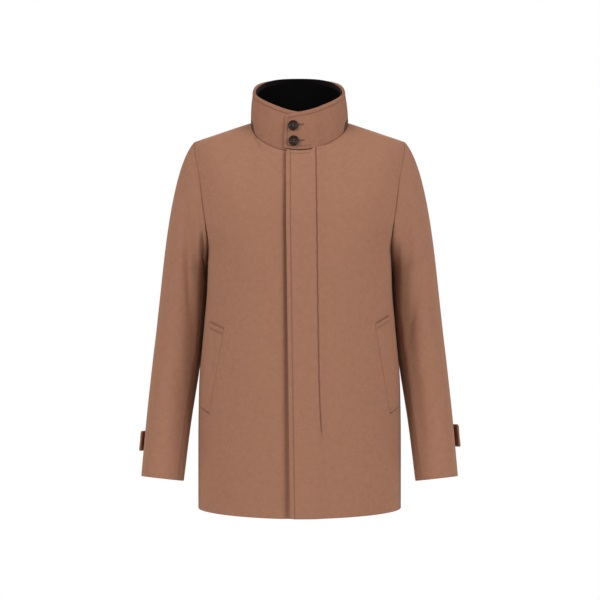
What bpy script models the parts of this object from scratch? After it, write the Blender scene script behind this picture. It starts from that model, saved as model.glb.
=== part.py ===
# A short wool coat with a tall buttoned collar, shown filled out as if worn.
# Metres. The front faces -Y, +X is the wearer's left and +Z is up.
# The origin lies between the neck points of the two shoulder seams, where the wearer's shoulders carry it.
import math
from collections import namedtuple

import bmesh
import bpy
import numpy as np
from mathutils import Vector

COAT = "short_coat"

# Cloth walls and the spaces between pieces
CLOTH = 0.0025
COLLAR_CLOTH = 0.0030
PILE_CLOTH = 0.0030
WELT_CLOTH = 0.0024
TAB_CLOTH = 0.0045
SEAM_GAP = 0.0003
LAY_GAP = 0.0007

# Body
Level = namedtuple("Level", "height half_width front_depth back_depth front_bulk back_bulk")
BODY_LEVELS = (
    Level(-0.772, 0.2020, 0.152, 0.140, 1.95, 2.05),  # hem
    Level(-0.640, 0.2020, 0.149, 0.137, 2.00, 2.05),  # hip
    Level(-0.530, 0.2005, 0.146, 0.133, 2.10, 2.10),  # pocket mouths
    Level(-0.400, 0.1900, 0.143, 0.128, 2.30, 2.20),  # waist
    Level(-0.330, 0.1842, 0.142, 0.127, 2.50, 2.30),  # ribs
    Level(-0.265, 0.1830, 0.141, 0.127, 2.65, 2.40),  # underarm
    Level(-0.200, 0.2145, 0.138, 0.126, 2.20, 2.20),  # chest
)
HEM_HEIGHT = BODY_LEVELS[0].height
UNDERARM_HEIGHT = BODY_LEVELS[-2].height
CHEST_HEIGHT = BODY_LEVELS[-1].height
HEM_FRONT_DIP = 0.006

# Yoke, from the chest up to the shoulder seams
SHOULDER_PEAK = 0.0315
SHOULDER_SLOPE = 0.34
SHOULDER_SEAM_Y = 0.008
SHOULDER_TIP_X = 0.211
Lean = namedtuple("Lean", "start finish")
FRONT_LEAN = Lean(1.5, 1.6)
TIP_LEAN = Lean(2.4, 2.3)
BACK_LEAN = Lean(2.6, 2.3)
LEAN_START_X = 0.090
LEAN_END_X = 0.200

# Neckline, on the yoke
NECK_HALF_WIDTH = 0.097
Neck = namedtuple("Neck", "height bulk")
NECK_LEFT = Neck(-0.0620, 1.8)
NECK_RIGHT = Neck(-0.0655, 2.0)
NECK_BACK_Y = 0.063
NECK_BACK_BULK = 2.2
NAPE_RISE = 0.013
NECK_EDGE_LEAN = 0.8

# Front closing: the left front laps over the right
Edge = namedtuple("Edge", "top_x hem_x")
LEFT_EDGE = Edge(-0.0262, -0.0178)
RIGHT_EDGE = Edge(-0.0300, -0.0300)
BACK_EDGE = Edge(0.0, 0.0)
COLLAR_END_X = -0.0300
LAP_LIFT = 0.0042
LAP_FLAT_X = 0.030
LAP_END_X = 0.055
PLACKET_TOP_DROP = 0.0284

# Armhole, an oval seen from the side, fuller towards the underarm
ARMHOLE_FRONT = 0.070
ARMHOLE_BACK = 0.068
ARMHOLE_SKEW = 0.25
ARMHOLE_STEPS = 9
Seam = namedtuple("Seam", "height x")
FRONT_ARMHOLE = (
    Seam(-0.2650, 0.1830),  # underarm
    Seam(-0.2400, 0.1812),
    Seam(-0.2100, 0.1842),
    Seam(-0.1700, 0.1900),
    Seam(-0.1170, 0.1970),
    Seam(-0.0612, 0.2085),
    Seam(-0.0402, 0.2110),  # shoulder tip
)

# Sleeve rings from the upper arm down
Ring = namedtuple("Ring", "height outer inner centre_y half_depth tilt_deg")
SLEEVE_RINGS = (
    Ring(-0.708, 0.3150, 0.2300, -0.022, 0.053, 6.5),  # cuff
    Ring(-0.600, 0.3065, 0.2160, 0.002, 0.060, 6.0),  # forearm
    Ring(-0.500, 0.2970, 0.1993, 0.020, 0.067, 5.0),  # elbow
    Ring(-0.416, 0.2875, 0.1910, 0.026, 0.072, 4.0),  # above the elbow
    Ring(-0.300, 0.2750, 0.1850, 0.026, 0.077, 3.0),  # upper arm
)
SLEEVE_BULK = 2.2
SLEEVE_RADIUS = 0.050

# Cap: how steeply it leaves the armhole, outwards and to the front, and how far that way it holds
Cap = namedtuple("Cap", "out out_swing ahead reach reach_swing pull turn_in")
CAP = Cap(0.42, 0.27, 0.12, 0.28, 0.09, 0.36, 0.5)
CAP_ROWS = 7
ARM_ROWS = 8
FORE_SEAM_STEP = 7
HIND_SEAM_STEP = 14

# Largest soft folds of a sleeve: where, how far they run, and how deep
Fold = namedtuple("Fold", "height turn_deg half_height half_turn_deg depth")
SLEEVE_FOLDS = (
    Fold(-0.420, 125, 0.055, 30, 0.004),  # trough in the bend of the elbow
    Fold(-0.500, 95, 0.050, 30, -0.002),  # swell below it
)
FOLD_START = 0.2

# Collar
NECK_AXIS_Y = -0.010
RIM_CENTRE_X = -0.0015
RIM_HALF_WIDTH = 0.0908
RIM_FRONT = 0.063
RIM_BACK = 0.073
RIM_FRONT_BULK = 1.75
RIM_BACK_BULK = 2.5
RIM_FRONT_HEIGHT = 0.0145
RIM_BACK_HEIGHT = 0.0918
RIM_EASE = 0.62
RIM_EASE_FROM = 0.02
RIM_LAP_DROP = 0.008
LAP_DROP_X = 0.008
COLLAR_BULGE = 0.002
COLLAR_ROWS = 4
STAND_START_DEG = 60
STAND_BLUNT_DEG = 77
STAND_BLUNT_SHARE = 0.15
STAND_SHARE = 0.42
STAND_LEAST = 0.03
STAND_GAP = 0.004
STAND_ROWS = 2
COLLAR_FOOT = 0.010
LINING_FOOT = 0.07
LINING_TOP = 0.97
LINING_EDGE_X = 0.036
LINING_GAP = 0.0010

# Pocket welts: corners on the front, as distance from the centre line and height
Corner = namedtuple("Corner", "x height")
WELT_TOP_FRONT = Corner(0.1480, -0.4070)
WELT_TOP_BACK = Corner(0.1760, -0.3920)
WELT_FOOT_FRONT = Corner(0.1775, -0.5790)
WELT_FOOT_BACK = Corner(0.1965, -0.5660)
WELT_ROWS = 8
WELT_COLUMNS = 2

# Cuff tabs
TAB_WIDTH = 0.040
TAB_SEAM_TURN_DEG = -76
TAB_END_TURN_DEG = -4
TAB_STAND_OFF = 0.0045
TAB_ROWS = 2
TAB_COLUMNS = 8
Tab = namedtuple("Tab", "side name height")
TABS = (Tab(1, "left", -0.626), Tab(-1, "right", -0.643))

# Buttons
BUTTON_RADIUS = 0.0102
CUFF_BUTTON_RADIUS = 0.0085
Turned = namedtuple("Turned", "inset rise")
BUTTON_RIM = (
    Turned(0.0012, 0.0000),  # back edge
    Turned(0.0000, 0.0010),
    Turned(0.0000, 0.0024),
    Turned(0.0014, 0.0036),  # crown of the rim
    Turned(0.0034, 0.0033),
    Turned(0.0052, 0.0022),  # sunk middle
)
BUTTON_MIDDLE = 0.0020
BUTTON_SIDES = 20
CollarButton = namedtuple("CollarButton", "name base_x high")
COLLAR_BUTTONS = (CollarButton("upper", -0.0116, 0.64), CollarButton("lower", -0.0106, 0.23))

# Mesh density
NECK_COLUMNS = 8
SHOULDER_COLUMNS = 5
BODY_ROWS = 9

WOOL = ((0.376, 0.178, 0.114), 0.92, 0.0)
PILE = ((0.004, 0.004, 0.005), 0.95, 0.0)
FELT = ((0.075, 0.042, 0.029), 0.95, 0.0)
HORN = ((0.035, 0.020, 0.014), 0.35, 0.0)


# A smooth curve through one column of a table, level with its peaks.
def through(table, column, height):
    place = np.array([row.height for row in table])
    value = np.array([getattr(row, column) for row in table])
    step = np.diff(place)
    rise = np.diff(value) / step
    turning = rise[:-1] * rise[1:] <= 0
    total = np.where(turning, 1.0, rise[:-1] + rise[1:])
    inside = np.where(turning, 0.0, 2 * rise[:-1] * rise[1:] / total)
    slope = np.concatenate([rise[:1], inside, rise[-1:]])
    i = np.clip(np.searchsorted(place, height) - 1, 0, len(step) - 1)
    s = (height - place[i]) / step[i]
    ends = (1 + 2 * s) * (1 - s) ** 2 * value[i] + s * s * (3 - 2 * s) * value[i + 1]
    return ends + step[i] * (s * (1 - s) ** 2 * slope[i] + s * s * (s - 1) * slope[i + 1])


def ease(share):
    share = np.clip(share, 0, 1)
    return share * share * (3 - 2 * share)


def unit(vectors):
    return vectors / np.linalg.norm(vectors, axis=-1, keepdims=True)


# Direction square to a surface given as a function of two parameters.
def normal_of(surface, first, second):
    step = 1e-4
    along_first = surface(first + step, second) - surface(first - step, second)
    along_second = surface(first, second + step) - surface(first, second - step)
    return unit(np.cross(along_first, along_second))


# Height of the shoulder line, rounded over inside the neck.
def shoulder_height(x):
    reach = np.abs(x)
    rounded = (reach * reach / NECK_HALF_WIDTH + NECK_HALF_WIDTH) / 2
    return SHOULDER_PEAK - SHOULDER_SLOPE * np.where(reach < NECK_HALF_WIDTH, rounded, reach)


# Extra height of the back at the nape.
def nape_rise(x):
    return NAPE_RISE * np.clip(1 - (x / NECK_HALF_WIDTH) ** 2, 0, 1) ** 2


# How a yoke profile leaves the chest and reaches the shoulder line, by distance from the centre line.
def lean_of(x, at_front):
    tip = ease((np.abs(x) - LEAN_START_X) / (LEAN_END_X - LEAN_START_X))
    start = FRONT_LEAN.start + (TIP_LEAN.start - FRONT_LEAN.start) * tip
    finish = FRONT_LEAN.finish + (TIP_LEAN.finish - FRONT_LEAN.finish) * tip
    return np.where(at_front, start, BACK_LEAN.start), np.where(at_front, finish, BACK_LEAN.finish)


# Half width, depth and bulk of the body's section at a height, on the front or the back.
def section(height, at_front):
    width = through(BODY_LEVELS, "half_width", height)
    front_depth = through(BODY_LEVELS, "front_depth", height)
    back_depth = through(BODY_LEVELS, "back_depth", height)
    front_bulk = through(BODY_LEVELS, "front_bulk", height)
    back_bulk = through(BODY_LEVELS, "back_bulk", height)
    return width, np.where(at_front, front_depth, back_depth), np.where(at_front, front_bulk, back_bulk)


# The body's surface. Angle is 0 at the front, 90 degrees at the wearer's left side.
# Rise is 0 at the hem, 1 at the chest and 2 at the shoulder seam.
def body(angle, rise):
    angle, rise = np.broadcast_arrays(np.asarray(angle, float), np.asarray(rise, float))
    height = HEM_HEIGHT + np.clip(rise, 0, 1) * (CHEST_HEIGHT - HEM_HEIGHT)
    at_front = np.cos(angle) > 0
    width, depth, bulk = section(height, at_front)
    across = np.abs(np.sin(angle)) / width
    ahead = np.abs(np.cos(angle)) / depth
    radius = (across**bulk + ahead**bulk) ** (-1 / bulk)
    x = radius * np.sin(angle)
    y = -radius * np.cos(angle)
    turn = np.clip(rise - 1, 0, 1) * math.pi / 2
    start, finish = lean_of(x, at_front)
    climb = (1 - np.cos(turn) ** finish) ** (1 / start)
    y = y + (SHOULDER_SEAM_Y - y) * (1 - np.cos(turn))
    top = shoulder_height(x) + np.where(at_front, 0.0, nape_rise(x))
    z = height + (top - CHEST_HEIGHT) * climb
    ahead_only = np.clip(np.cos(angle), 0, 1)
    z = z - HEM_FRONT_DIP * ahead_only**1.2 * np.clip(1 - rise, 0, 1) ** 2
    return np.stack([x, y, z], axis=-1)


# Angle of the point of a section that lies at distance x from the centre line.
def angle_at(x, height, at_front):
    width, depth, bulk = section(np.minimum(height, CHEST_HEIGHT), at_front)
    y = depth * (1 - np.clip(np.abs(x) / width, 0, 1) ** bulk) ** (1 / bulk)
    return np.arctan2(x, np.where(at_front, y, -y))


def height_of(rise):
    return HEM_HEIGHT + np.clip(rise, 0, 1) * (CHEST_HEIGHT - HEM_HEIGHT)


def rise_at(height):
    return (height - HEM_HEIGHT) / (CHEST_HEIGHT - HEM_HEIGHT)


# Rise of a point of the yoke at distance x from the centre line and at a height.
def yoke_rise(x, height, at_front):
    start, finish = lean_of(x, at_front)
    climb = np.clip((height - CHEST_HEIGHT) / (shoulder_height(x) - CHEST_HEIGHT), 0, 1)
    return 1 + np.arccos((1 - climb**start) ** (1 / finish)) * 2 / math.pi


# Distance from the centre line of a point of the neckline. Swing is 0 at the centre, 1 at the shoulder seam.
def neck_x(swing, bulk):
    return NECK_HALF_WIDTH * np.sign(swing) * np.abs(np.sin(swing * math.pi / 2)) ** (2 / bulk)


def neck_swing(x, bulk):
    share = np.clip(np.abs(x) / NECK_HALF_WIDTH, 0, 1)
    return np.sign(x) * np.arcsin(share ** (bulk / 2)) * 2 / math.pi


# Angle and rise of a front neckline at a swing.
def front_neckline(swing, neck):
    x = neck_x(swing, neck.bulk)
    side = shoulder_height(NECK_HALF_WIDTH)
    drop = np.abs(np.cos(swing * math.pi / 2)) ** (2 / neck.bulk)
    return angle_at(x, CHEST_HEIGHT, True), yoke_rise(x, side + (neck.height - side) * drop, True)


# Angle and rise of the back neckline at a swing.
def back_neckline(swing):
    angle = angle_at(neck_x(swing, NECK_BACK_BULK), CHEST_HEIGHT, False)
    back = body(angle, 1.0)[..., 1]
    depth = np.abs(np.cos(swing * math.pi / 2)) ** (2 / NECK_BACK_BULK)
    share = (NECK_BACK_Y - SHOULDER_SEAM_Y) * depth / (back - SHOULDER_SEAM_Y)
    return angle, 1 + np.arccos(np.clip(share, 0, 1)) * 2 / math.pi


# Angle and rise of the left armhole. Turn is 0 at the shoulder tip, 90 degrees in front, 180 under the arm.
def armhole(turn):
    at_front = np.sin(turn) >= 0
    top = shoulder_height(SHOULDER_TIP_X)
    reach = np.where(at_front, ARMHOLE_FRONT, ARMHOLE_BACK)
    swing = reach * np.sin(turn) * (1 - ARMHOLE_SKEW * np.cos(turn))
    y = SHOULDER_SEAM_Y * (1 + np.cos(turn)) / 2 - swing
    z = (top + UNDERARM_HEIGHT) / 2 + (top - UNDERARM_HEIGHT) / 2 * np.cos(turn)
    width, depth, bulk = section(np.minimum(z, CHEST_HEIGHT), at_front)
    low_x = width * (1 - np.clip(np.abs(y) / depth, 0, 1) ** bulk) ** (1 / bulk)
    near = np.full_like(z, NECK_HALF_WIDTH)
    far = np.minimum((SHOULDER_PEAK - z) / SHOULDER_SLOPE, width)
    outward = np.where(at_front, 1, -1)
    for _ in range(50):
        middle = (near + far) / 2
        start, finish = lean_of(middle, at_front)
        climb = np.clip((z - CHEST_HEIGHT) / (shoulder_height(middle) - CHEST_HEIGHT), 0, 1)
        lean = 1 - (1 - climb**start) ** (1 / finish)
        base = -outward * depth * (1 - np.clip(middle / width, 0, 1) ** bulk) ** (1 / bulk)
        here = base + (SHOULDER_SEAM_Y - base) * lean
        short = outward * (y - here) > 0
        near = np.where(short, middle, near)
        far = np.where(short, far, middle)
    on_yoke = z > CHEST_HEIGHT
    x = np.where(on_yoke, (near + far) / 2, low_x)
    x = np.where(at_front, through(FRONT_ARMHOLE, "x", z), x)
    return angle_at(x, z, at_front), np.where(on_yoke, yoke_rise(x, z, at_front), rise_at(z))


# Turns of the armhole points from the underarm up to the shoulder tip, on the front or the back.
def armhole_turns(at_front):
    return np.radians(np.linspace(180, 1e-6, ARMHOLE_STEPS + 1)) * (1 if at_front else -1)


# Direction of the cut edge round the armhole, square to the oval seen from the side.
def armhole_edge(turn):
    reach = np.where(np.sin(turn) >= 0, ARMHOLE_FRONT, ARMHOLE_BACK)
    half_height = (shoulder_height(SHOULDER_TIP_X) - UNDERARM_HEIGHT) / 2
    away = np.stack([np.zeros_like(turn), -np.sin(turn) / reach, np.cos(turn) / half_height], axis=-1)
    return unit(away)


# Outward lift of the left front and the left collar end where they lap over the right.
def lap_lift(x):
    return LAP_LIFT * ease((LAP_END_X - x) / (LAP_END_X - LAP_FLAT_X))


# Grid of angles and rises of half a panel, from the centre edge to the side seam and armhole.
def panel_grid(edge, neckline, top_drop):
    at_front = neckline is not None
    if at_front:
        swing = np.linspace(neck_swing(edge.top_x, neckline.bulk), 1, NECK_COLUMNS + 1)
        neck, neck_rise = front_neckline(swing, neckline)
    else:
        neck, neck_rise = back_neckline(np.linspace(0, 1, NECK_COLUMNS + 1))
    side_angle, side_rise = armhole(armhole_turns(at_front))
    shoulder = np.linspace(neck[-1], side_angle[-1], SHOULDER_COLUMNS + 1)[1:]
    top_angle = np.concatenate([neck, shoulder])
    top_rise = np.concatenate([neck_rise, np.full_like(shoulder, 2.0)])
    top_rise = top_rise - top_drop(body(top_angle, 1.0)[:, 0])
    share = (top_angle - top_angle[0]) / (top_angle[-1] - top_angle[0])
    low = np.linspace(0, rise_at(UNDERARM_HEIGHT), BODY_ROWS + 1)[:-1]
    row_rise = np.concatenate([low, side_rise])
    row_end = np.concatenate([np.full_like(low, math.pi / 2), side_angle])
    split = rise_at(UNDERARM_HEIGHT)
    stretch = (top_rise - split) / (2 - split)
    level = row_rise[:, None]
    rise = np.where(level <= split, level, split + (level - split) * stretch)
    edge_x = edge.hem_x + (edge.top_x - edge.hem_x) * np.clip(rise[:, 0], 0, 1)
    row_start = angle_at(edge_x, height_of(rise[:, 0]), at_front)
    angle = row_start[:, None] + (row_end - row_start)[:, None] * share
    return angle, rise


# Sleeve ring at a height of its table, for the left arm. Turn is 0 outside, 90 degrees in front, 180 inside.
def arm_ring(turn, height):
    outer = through(SLEEVE_RINGS, "outer", height)
    inner = through(SLEEVE_RINGS, "inner", height)
    tilt = np.radians(through(SLEEVE_RINGS, "tilt_deg", height))
    spread = np.abs(np.cos(turn)) ** SLEEVE_BULK + np.abs(np.sin(turn)) ** SLEEVE_BULK
    size = spread ** (-1 / SLEEVE_BULK)
    wide = (outer - inner) / 2 * np.cos(turn) * size
    deep = through(SLEEVE_RINGS, "half_depth", height) * np.sin(turn) * size
    x = (outer + inner) / 2 + wide * np.cos(tilt)
    y = through(SLEEVE_RINGS, "centre_y", height) - deep
    return np.stack([x, y, height + wide * np.sin(tilt)], axis=-1)


# How far the soft folds press a sleeve in at a turn and height.
def fold_depth(turn, height):
    pressed = np.zeros(np.broadcast(turn, height).shape)
    for fold in SLEEVE_FOLDS:
        across = ((np.degrees(turn) - fold.turn_deg + 180) % 360 - 180) / fold.half_turn_deg
        upward = (height - fold.height) / fold.half_height
        pressed += fold.depth * np.exp(-(across**2) - upward**2)
    return pressed


# The left sleeve. Along is 0 at the armhole, 1 at the upper arm and 2 at the cuff.
def sleeve(turn, along):
    turn, along = np.broadcast_arrays(np.asarray(turn, float), np.asarray(along, float))
    top, foot = SLEEVE_RINGS[-1].height, SLEEVE_RINGS[0].height
    height = top + (foot - top) * np.clip(along - 1, 0, 1)
    arm = arm_ring(turn, height)
    start = body(*armhole(turn))
    upper = arm_ring(turn, np.full_like(turn, top))
    below = arm_ring(turn, np.full_like(turn, top - 0.001))
    down = unit(below - upper)
    leave_x = CAP.out + CAP.out_swing * np.cos(turn)
    leave_y = -CAP.ahead * np.sin(turn)
    leave = np.stack([leave_x, leave_y, -np.sqrt(1 - leave_x**2 - leave_y**2)], axis=-1)
    reach = np.linalg.norm(upper - start, axis=-1, keepdims=True)
    push = (CAP.reach - CAP.reach_swing * np.cos(turn))[..., None] * reach
    s = np.clip(along, 0, 1)[..., None]
    cap = (1 - s) ** 3 * start + 3 * (1 - s) ** 2 * s * (start + push * leave)
    cap = cap + 3 * (1 - s) * s * s * (upper - CAP.pull * reach * down) + s**3 * upper
    point = np.where(along[..., None] < 1, cap, arm)
    centre_x = (through(SLEEVE_RINGS, "outer", height) + through(SLEEVE_RINGS, "inner", height)) / 2
    inward = np.stack([centre_x - point[..., 0], -point[..., 1], np.zeros_like(centre_x)], axis=-1)
    pressed = fold_depth(turn, height) * np.clip((along - 1) / FOLD_START, 0, 1)
    return point + unit(inward) * pressed[..., None]


def sleeve_normal(turn, along):
    return normal_of(sleeve, turn, along)


def along_at(height):
    return 1 + (height - SLEEVE_RINGS[-1].height) / (SLEEVE_RINGS[0].height - SLEEVE_RINGS[-1].height)


# The collar's rim above a point of the neckline.
def rim_above(base):
    x = base[..., 0]
    y = base[..., 1] - NECK_AXIS_Y
    angle = np.arctan2(x, -y)
    at_front = np.cos(angle) > 0
    bulk = np.where(at_front, RIM_FRONT_BULK, RIM_BACK_BULK)
    depth = np.where(at_front, RIM_FRONT, RIM_BACK)
    across = np.abs(np.sin(angle)) / RIM_HALF_WIDTH
    ahead = np.abs(np.cos(angle)) / depth
    radius = (across**bulk + ahead**bulk) ** (-1 / bulk)
    rim_y = NECK_AXIS_Y - radius * np.cos(angle)
    share = (rim_y - NECK_AXIS_Y + RIM_FRONT) / (RIM_FRONT + RIM_BACK)
    start = RIM_EASE_FROM**RIM_EASE
    finish = (1 + RIM_EASE_FROM) ** RIM_EASE
    climb = ((np.clip(share, 0, 1) + RIM_EASE_FROM) ** RIM_EASE - start) / (finish - start)
    rim_z = RIM_FRONT_HEIGHT + (RIM_BACK_HEIGHT - RIM_FRONT_HEIGHT) * climb
    return np.stack([RIM_CENTRE_X + radius * np.sin(angle), rim_y, rim_z], axis=-1)


# Neckline point for the collar. Path runs from the right end, round the back, to the left end.
# From -1 to 0 and from 2 to 3 it follows a front; between them it follows the back from right to left.
def neck_base(path):
    on_back = (path >= 0) & (path <= 2)
    right_swing = -1 - np.minimum(path, 0) * (1 - neck_swing(RIGHT_EDGE.top_x, NECK_RIGHT.bulk))
    left_swing = 1 - np.maximum(path - 2, 0) * (1 - neck_swing(LEFT_EDGE.top_x, NECK_LEFT.bulk))
    right = body(*front_neckline(right_swing, NECK_RIGHT))
    left = body(*front_neckline(left_swing, NECK_LEFT))
    back = body(*back_neckline(np.clip(path - 1, -1, 1)))
    base = np.where(on_back[..., None], back, np.where((path < 0)[..., None], right, left))
    x = base[..., 0]
    lift = np.where(path > 2, lap_lift(x), 0.0)
    away = unit(np.stack([base[..., 0], base[..., 1] - NECK_AXIS_Y, np.zeros_like(x)], axis=-1))
    return base + away * lift[..., None]


# The collar's surface. High is 0 at the neckline and 1 at the rim.
def collar(path, high):
    path, high = np.broadcast_arrays(np.asarray(path, float), np.asarray(high, float))
    base = neck_base(path)
    rim = rim_above(base)
    end = np.clip((LAP_DROP_X - base[..., 0]) / (LAP_DROP_X - COLLAR_END_X), 0, 1)
    rim[..., 2] -= np.where(path > 2, RIM_LAP_DROP * end**2, 0.0)
    lift = np.where(path > 2, lap_lift(base[..., 0]), 0.0)
    away = unit(np.stack([base[..., 0], base[..., 1] - NECK_AXIS_Y, np.zeros_like(high)], axis=-1))
    swell = COLLAR_BULGE * 4 * high * (1 - high)
    point = base + (rim - base) * high[..., None]
    return point + away * (swell + lift * high)[..., None]


def collar_normal(path, high):
    return -normal_of(collar, path, high)


# Share of the collar's height taken by the dark stand, from the shoulder seams round the back.
def stand_share(path):
    base = neck_base(path)
    angle = np.degrees(np.abs(np.arctan2(base[..., 0], NECK_AXIS_Y - base[..., 1])))
    share = np.clip((angle - STAND_START_DEG) / (180 - STAND_START_DEG), 0, 1)
    blunt = STAND_BLUNT_SHARE * ease((angle - STAND_START_DEG) / (STAND_BLUNT_DEG - STAND_START_DEG))
    return np.maximum(STAND_SHARE * np.sin(share * math.pi / 2), blunt)


def material_of(name, finish):
    colour, roughness, metallic = finish
    material = bpy.data.materials.new(name)
    material.use_nodes = True
    shader = material.node_tree.nodes["Principled BSDF"]
    shader.inputs["Base Color"].default_value = (*colour, 1.0)
    shader.inputs["Roughness"].default_value = roughness
    shader.inputs["Metallic"].default_value = metallic
    return material


def add_object(name, mesh, finish, parts):
    mesh.materials.append(material_of(name, finish))
    item = bpy.data.objects.new(name, mesh)
    parts.objects.link(item)
    return item


# A closed cloth wall between a grid of outer points and a grid of inner points.
def add_wall(name, outer, inner, finish, parts):
    rows, columns = outer.shape[:2]
    count = rows * columns
    index = np.arange(count).reshape(rows, columns)
    corners = (index[:-1, :-1], index[:-1, 1:], index[1:, 1:], index[1:, :-1])
    face = np.stack(corners, axis=-1).reshape(-1, 4)
    border = np.concatenate([index[0, :-1], index[:-1, -1], index[-1, :0:-1], index[:0:-1, 0]])
    following = np.roll(border, -1)
    rim = np.stack([following, border, border + count, following + count], axis=-1)
    faces = np.concatenate([face, face[:, ::-1] + count, rim])
    points = np.concatenate([outer.reshape(-1, 3), inner.reshape(-1, 3)])
    mesh = bpy.data.meshes.new(name)
    mesh.from_pydata(points.tolist(), [], faces.tolist())
    shape = bmesh.new()
    shape.from_mesh(mesh)
    bmesh.ops.recalc_face_normals(shape, faces=shape.faces)
    shape.to_mesh(mesh)
    shape.free()
    mesh.shade_smooth()
    return add_object(name, mesh, finish, parts)


def no_drop(x):
    return np.zeros_like(x)


# How far the placket's top edge lies below the neckline, as rise.
def placket_drop(x):
    return PLACKET_TOP_DROP * ease((LAP_END_X - x) / (LAP_END_X - LAP_FLAT_X))


# Direction of the cut edge round the neckline, shared by the body and the collar.
def neck_edge(base):
    away = unit(base * [1, 1, 0] - [0, NECK_AXIS_Y, 0])
    return unit(away + [0, 0, NECK_EDGE_LEAN])


# Outer and inner points of half a body panel on the wearer's left.
def panel_points(edge, neckline, lift, top_drop):
    at_front = neckline is not None
    angle, rise = panel_grid(edge, neckline, top_drop)
    outer = body(angle, rise)
    normal = normal_of(body, angle, rise)
    direction = normal.copy()
    direction[BODY_ROWS:, -1] = armhole_edge(armhole_turns(at_front))
    neck = slice(0, NECK_COLUMNS + 1)
    direction[-1, neck] = neck_edge(outer[-1, neck])
    raised = normal * lift(outer[..., 0])[..., None]
    away = -1 if at_front else 1
    outer[: BODY_ROWS + 1, -1, 1] += away * SEAM_GAP / 2
    outer[-1, NECK_COLUMNS:, 1] += away * SEAM_GAP / 2
    return outer + raised, outer + raised - CLOTH * direction


def flip_x(points):
    return points * np.array([-1.0, 1.0, 1.0])


def add_body(parts):
    outer, inner = panel_points(LEFT_EDGE, NECK_LEFT, lap_lift, placket_drop)
    add_wall("front_left", outer, inner, WOOL, parts)
    outer, inner = panel_points(RIGHT_EDGE, NECK_RIGHT, no_drop, no_drop)
    add_wall("front_right", flip_x(outer), flip_x(inner), WOOL, parts)
    outer, inner = panel_points(BACK_EDGE, None, no_drop, no_drop)
    outer = np.concatenate([flip_x(outer[:, :0:-1]), outer], axis=1)
    inner = np.concatenate([flip_x(inner[:, :0:-1]), inner], axis=1)
    add_wall("back", outer, inner, WOOL, parts)


# Outer and inner points of one piece of the left sleeve between two steps round the armhole.
def sleeve_points(first_step, last_step):
    turn = np.radians(np.arange(first_step, last_step + 1) * 180 / ARMHOLE_STEPS)
    nudge = SEAM_GAP / SLEEVE_RADIUS
    turn[0] += nudge
    turn[-1] -= nudge
    along = np.concatenate([np.linspace(0, 1, CAP_ROWS + 1), np.linspace(1, 2, ARM_ROWS + 1)[1:]])
    turn, along = np.meshgrid(turn, along)
    outer = sleeve(turn, along)
    direction = sleeve_normal(turn, np.clip(along, 0.02, 1.98))
    edge = armhole_edge(turn[0])
    direction = unit(edge + (direction - edge) * ease(along / CAP.turn_in)[..., None])
    tangent = unit(sleeve(turn[0] + 1e-3, 0.0) - sleeve(turn[0] - 1e-3, 0.0))
    apart = np.cross(tangent, edge)
    apart *= np.sign(apart[:, :1])
    outer[0] += 2 * SEAM_GAP * unit(apart)
    return outer, outer - CLOTH * direction


def add_sleeves(parts):
    steps = {
        "top": (HIND_SEAM_STEP - 2 * ARMHOLE_STEPS, FORE_SEAM_STEP),
        "under": (FORE_SEAM_STEP, HIND_SEAM_STEP),
    }
    for piece, (first, last) in steps.items():
        outer, inner = sleeve_points(first, last)
        add_wall("sleeve_left_" + piece, outer, inner, WOOL, parts)
        add_wall("sleeve_right_" + piece, flip_x(outer), flip_x(inner), WOOL, parts)


# Path of the point of the left neckline that lies at distance x from the centre line.
def left_path(x):
    edge = neck_swing(LEFT_EDGE.top_x, NECK_LEFT.bulk)
    return 2 + (1 - neck_swing(x, NECK_LEFT.bulk)) / (1 - edge)


# Stations along the neckline that match the columns of the body panels.
def neck_path():
    half = np.linspace(0, 1, NECK_COLUMNS + 1)
    return np.concatenate([half[:-1] - 1, half, half[1:] + 1, half[1:] + 2, [left_path(COLLAR_END_X)]])


# Outer and inner points of a strip of the collar between two heights at each station.
def strip_points(path, foot, head, rows, at_neck):
    high = foot + (head - foot) * np.linspace(0, 1, rows + 1)[:, None]
    stations = np.broadcast_to(path, high.shape)
    outer = collar(stations, high)
    direction = collar_normal(stations, np.clip(high, COLLAR_FOOT, 1 - COLLAR_FOOT))
    direction[0] = np.where(at_neck[:, None], neck_edge(neck_base(path)), direction[0])
    return outer, outer - COLLAR_CLOTH * direction


def add_collar(parts):
    path = neck_path()
    stand = stand_share(path)
    dark = stand > 0
    stand = np.where(dark, np.maximum(stand, STAND_LEAST), 0.0)
    foot = np.where(dark, stand + STAND_GAP, COLLAR_FOOT)
    outer, inner = strip_points(path, foot, np.ones_like(foot), COLLAR_ROWS, ~dark)
    add_wall("collar", outer, inner, WOOL, parts)
    head = stand[dark] - 2 * STAND_GAP
    outer, inner = strip_points(path[dark], np.full_like(head, COLLAR_FOOT), head, STAND_ROWS, dark[dark])
    add_wall("collar_stand_back", outer, inner, FELT, parts)


# The lining starts and ends clear of the lapped front ends.
def add_lining(parts):
    path = neck_path()
    base_x = neck_base(path)[:, 0]
    on_right = (path < 1) & (base_x < -LINING_EDGE_X)
    on_left = (path > 1) & (base_x > LINING_EDGE_X)
    at_nape = np.abs(path - 1) <= 0.5
    lined = path[on_right | on_left | at_nape]
    high = np.linspace(LINING_FOOT, LINING_TOP, COLLAR_ROWS + 1)[:, None]
    surface = collar(lined, high)
    normal = collar_normal(lined, high)
    outer = surface - (COLLAR_CLOTH + LINING_GAP) * normal
    add_wall("collar_lining", outer, outer - PILE_CLOTH * normal, PILE, parts)


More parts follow.
